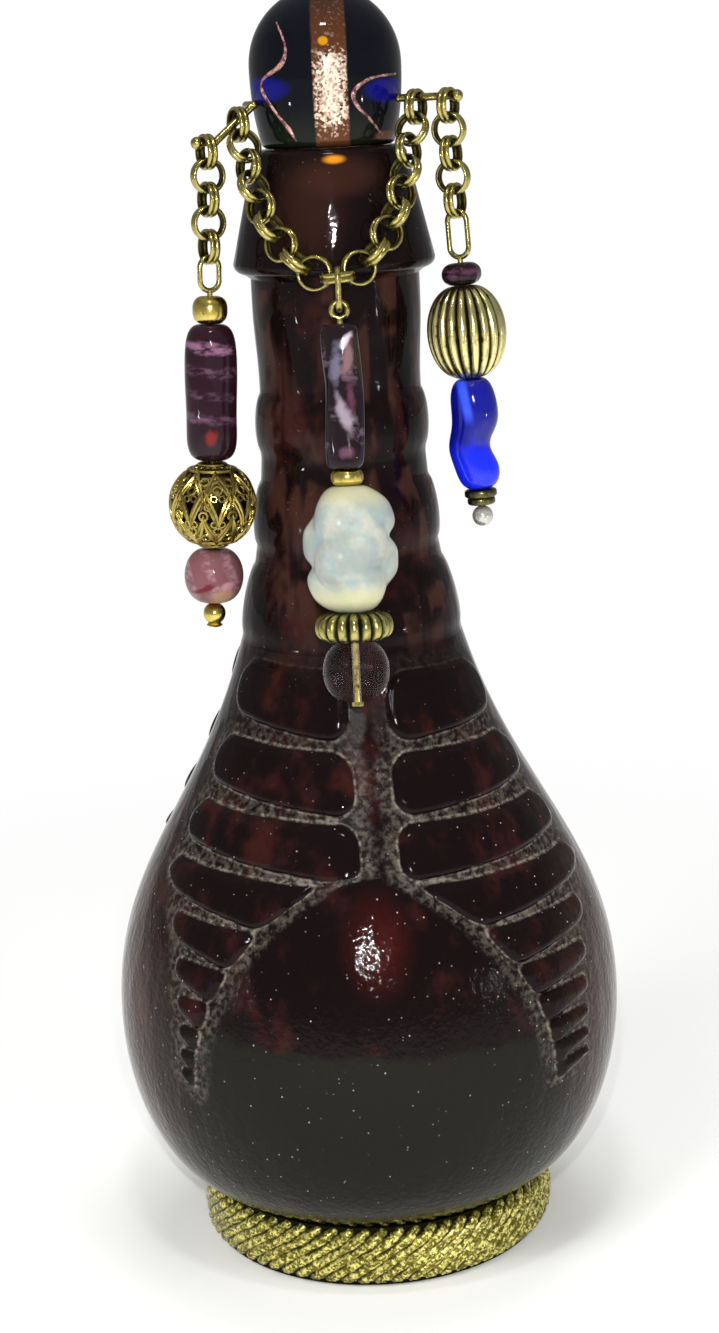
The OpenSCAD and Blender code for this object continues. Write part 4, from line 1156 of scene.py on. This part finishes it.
class GENIE_OT_centre_string(bpy.types.Operator):
    """Models the beads of the centre string"""
    bl_idname = "genie.centre_string"
    bl_label = "Centre string"

    def execute(self, context):
        metal = context.scene.genie_metal
        string = string_place("rondelle_spin")

        place, height, radius = span("centre_twist_bead", string)
        bm = bmesh.new()
        bead(bm, radius, height, 0.72, 14, rows=44)
        reshape(bm, lambda a, z, r: (1 - 0.12 * (0.5 - 0.5 * math.cos(3 * a - 0.36 * z)), 0, 0))
        glass = wound_glass("twisted_amethyst_glass", {
            "dark": "#1a1014", "light": "#6d5a68", "lean": 0.9, "turn_mm": 6.2, "swirl_mm": 2.6, "warp": 9,
            "share": 0.3, "bands": ((3.9, 3.6, 0.6), (-4.2, 3.6, 0.6)), "milk": 0.0,
            "spots": (((0.9, -2.6, 0.4), (0.8, 3, 2.2), 0, "#57303f"), ((0.0, -2.6, -7.0), (1.3, 3, 1.0), 0, "#5b3c4c"),
                      ((-0.8, -2.6, 4.2), (1.0, 3, 3.2), 8, "#5f5b6e"), ((0.8, -2.6, 4.8), (0.9, 3, 3.2), 12, "#765a5c"),
                      ((0.7, -2.6, 7.2), (0.55, 3, 1.8), 35, "#b9afb8"), ((0.1, -2.6, -2.6), (0.95, 3, 3.4), -18, "#8a7c88"))})
        add_piece("twist_bead", bm, "centre_string", glass, ["centre_twist_bead"], place)

        place, height, radius = span("centre_disc", string)
        bm = bmesh.new()
        bead(bm, radius, height, 0.6, 2.6, rows=16)
        gilt = aged_brass("gilt_disc_brass", metal.gold, metal.shadow, 0.2)
        add_piece("gilt_disc", bm, "centre_string", gilt, ["centre_disc"], place)

        place, height, radius = span("centre_opal_bead", string)
        bm = bmesh.new()
        bead(bm, radius * 0.84, height, 0.34, 2.8, steps=84, rows=64)

        # Rows of lobes: height as a share, lobes round the bead, and turn of the first one
        rows = ((0.18, 3, math.pi), (0.4, 3, 0.0), (0.56, 3, math.pi), (0.79, 3, 0.0))

        def lumps(a, z, r):
            swell = max(math.exp(-((z / height + 0.5 - level) / 0.17) ** 4) * (0.5 + 0.5 * math.cos(lobes * (a - turn)))
                        for level, lobes, turn in rows)
            return 0.9 + 0.25 * swell, 0, 0
        reshape(bm, lumps)
        add_piece("opal_bead", bm, "centre_string", opal_glass(), ["centre_opal_bead"], place)

        place, height, radius = span("centre_rondelle", string)
        flutes = 18
        bm = bmesh.new()
        bead(bm, radius, height, 0.6, 2.4, steps=flutes * 8, rows=16)

        def fluted(a, z, r):
            cut = abs(math.cos(flutes / 2 * a)) ** 4 * (r > 0.5 * radius)
            return 1 - 0.11 * cut, 0, cut
        reshape(bm, fluted)
        worn = aged_brass("fluted_brass", "#bdb46c", "#25230f", 0.24)
        add_piece("rondelle", bm, "rondelle", worn, ["centre_rondelle"], place)

        place, height, radius = span("centre_clear_bead", string)
        bm = bmesh.new()
        bead(bm, radius, height, 0.3, 2.2, rows=32)
        add_piece("clear_bead", bm, "centre_string", clear_glass(), ["centre_clear_bead"], place)
        return {"FINISHED"}


# Stage


class GENIE_OT_stage(bpy.types.Operator):
    """Sets up the camera, the floor, the lamps and the white surroundings"""
    bl_idname = "genie.stage"
    bl_label = "Stage"

    def execute(self, context):
        look = context.scene.genie_stage
        scene = context.scene
        camera = bpy.data.objects.new("camera", bpy.data.cameras.new("camera"))
        scene.collection.objects.link(camera)
        camera.data.lens = look.lens
        camera.data.sensor_width = 36
        camera.data.clip_start = 0.01
        camera.data.clip_end = 20
        turn = Matrix.Rotation(math.radians(90 - look.pitch), 4, "X")
        turn = turn @ Matrix.Rotation(math.radians(look.roll), 4, "Z")
        camera.matrix_world = Matrix.Translation(look.eye) @ turn
        scene.camera = camera
        scene.view_settings.view_transform = "Standard"

        floor = bmesh.new()
        bmesh.ops.create_circle(floor, cap_ends=True, segments=64, radius=3.0)
        mesh = bpy.data.meshes.new("floor")
        floor.to_mesh(mesh)
        floor.free()
        mesh.materials.append(white_paper())
        ground = bpy.data.objects.new("floor", mesh)
        scene.collection.objects.link(ground)

        # Lamps: name, place in metres, width and height, power in watts, and if glass and metal reflect it
        for name, place, wide, tall, power, shines in (
                ("key", (-0.30, -0.38, 0.50), 0.22, 0.22, 2.2, False),
                ("fill", (0.42, -0.30, 0.30), 0.30, 0.30, 1.2, False),
                ("top", (0.05, 0.15, 0.60), 0.35, 0.35, 1.5, False),
                ("upper_flash", (-0.006, -0.33, 0.205), 0.0045, 0.006, 0.35, True),
                ("lower_flash", (0.012, -0.33, 0.178), 0.0045, 0.006, 0.3, True),
                ("left_spark", (-0.36, -0.22, 0.08), 0.005, 0.005, 0.05, True),
                ("right_spark", (0.36, -0.24, 0.08), 0.005, 0.005, 0.05, True),
                ("high", (0.0, -0.20, 0.50), 0.05, 0.02, 0.35, True)):
            data = bpy.data.lights.new(name, "AREA")
            data.shape = "RECTANGLE"
            data.size = wide
            data.size_y = tall
            data.energy = power * look.lamp
            lamp = bpy.data.objects.new(name, data)
            lamp.visible_glossy = shines
            scene.collection.objects.link(lamp)
            aim = Vector((0, 0, 0.09)) - Vector(place)
            lamp.matrix_world = Matrix.Translation(place) @ aim.to_track_quat("-Z", "Y").to_matrix().to_4x4()

        world = bpy.data.worlds.new("surroundings")
        scene.world = world
        world.use_nodes = True
        tree = world.node_tree
        rays = add(tree, "ShaderNodeLightPath")
        up = add(tree, SPLIT, [add(tree, "ShaderNodeTexCoord")["Generated"]])[2]
        shine = add(tree, RANGE, [up, 0.5, 0.0, 0.0, look.shine], interpolation_type="SMOOTHSTEP")[0]
        shine = add(tree, MATH, [shine, rays["Is Glossy Ray"]], operation="MULTIPLY")[0]
        seen = add(tree, MATH, [rays["Is Camera Ray"], rays["Is Transmission Ray"]], operation="MAXIMUM")[0]
        seen = add(tree, MATH, [seen, shine], operation="MAXIMUM")[0]
        room = add(tree, MIX, {"Factor": add(tree, RANGE, [up, -0.1, 0.9])[0], "A": linear("#5c5c5c"),
                               "B": linear("#9a9a9a")}, data_type="RGBA")["Result"]
        colour = add(tree, MIX, {"Factor": seen, "A": room, "B": linear("#ffffff")}, data_type="RGBA")["Result"]
        fill(tree, tree.nodes["Background"], {"Color": colour})
        return {"FINISHED"}


def white_paper():
    """Matt white paper under the bottle."""
    # Pale and plain: it keeps the soft shadow near the bottle and turns to pure white further away.
    material, tree, shader = new_material("white_paper")
    fill(tree, shader, {"Base Color": linear("#f2f2f0"), "Roughness": 0.9})
    away = add(tree, LENGTHS, [add(tree, "ShaderNodeTexCoord")["Object"]], operation="LENGTH")["Value"]
    fade = add(tree, RANGE, [away, 0.04, 0.26], interpolation_type="SMOOTHSTEP")[0]
    rays = add(tree, "ShaderNodeLightPath")
    seen = add(tree, MATH, [rays["Is Glossy Ray"], 0.4], operation="MULTIPLY")[0]
    for ray in ("Is Camera Ray", "Is Transmission Ray"):
        seen = add(tree, MATH, [seen, rays[ray]], operation="MAXIMUM")[0]
    share = add(tree, MATH, [seen, fade], operation="MULTIPLY")[0]
    white = add(tree, "ShaderNodeEmission", {"Strength": 1.0})[0]
    both = add(tree, "ShaderNodeMixShader", [share, shader.outputs[0], white])[0]
    tree.links.new(both, tree.nodes["Material Output"].inputs["Surface"])
    return material


class GENIE_PT_panel(bpy.types.Panel):
    """Lists the makers of the bottle's pieces"""
    bl_idname = "GENIE_PT_panel"
    bl_label = "Genie bottle"
    bl_space_type = "VIEW_3D"
    bl_region_type = "UI"
    bl_category = "Genie bottle"

    def draw(self, context):
        for maker in MAKERS:
            self.layout.operator(maker.bl_idname)


GROUPS = {
    "genie_glass": GlassLook,
    "genie_braid": BraidLook,
    "genie_dome": DomeLook,
    "genie_metal": MetalLook,
    "genie_stage": StageLook,
}
MAKERS = (GENIE_OT_bottle_glass, GENIE_OT_foot_braid, GENIE_OT_stopper, GENIE_OT_chains, GENIE_OT_left_string,
          GENIE_OT_right_string, GENIE_OT_centre_string, GENIE_OT_stage)


def register():
    for kind in (*GROUPS.values(), *MAKERS, GENIE_PT_panel):
        bpy.utils.register_class(kind)
    for name, kind in GROUPS.items():
        setattr(bpy.types.Scene, name, PointerProperty(type=kind))


def unregister():
    for name in GROUPS:
        delattr(bpy.types.Scene, name)
    for kind in reversed((*GROUPS.values(), *MAKERS, GENIE_PT_panel)):
        bpy.utils.unregister_class(kind)


def main():
    register()
    bpy.ops.genie.bottle_glass()
    bpy.ops.genie.foot_braid()
    bpy.ops.genie.stopper()
    bpy.ops.genie.chains()
    bpy.ops.genie.left_string()
    bpy.ops.genie.right_string()
    bpy.ops.genie.centre_string()
    bpy.ops.genie.stage()


if __name__ == "__main__":
    main()
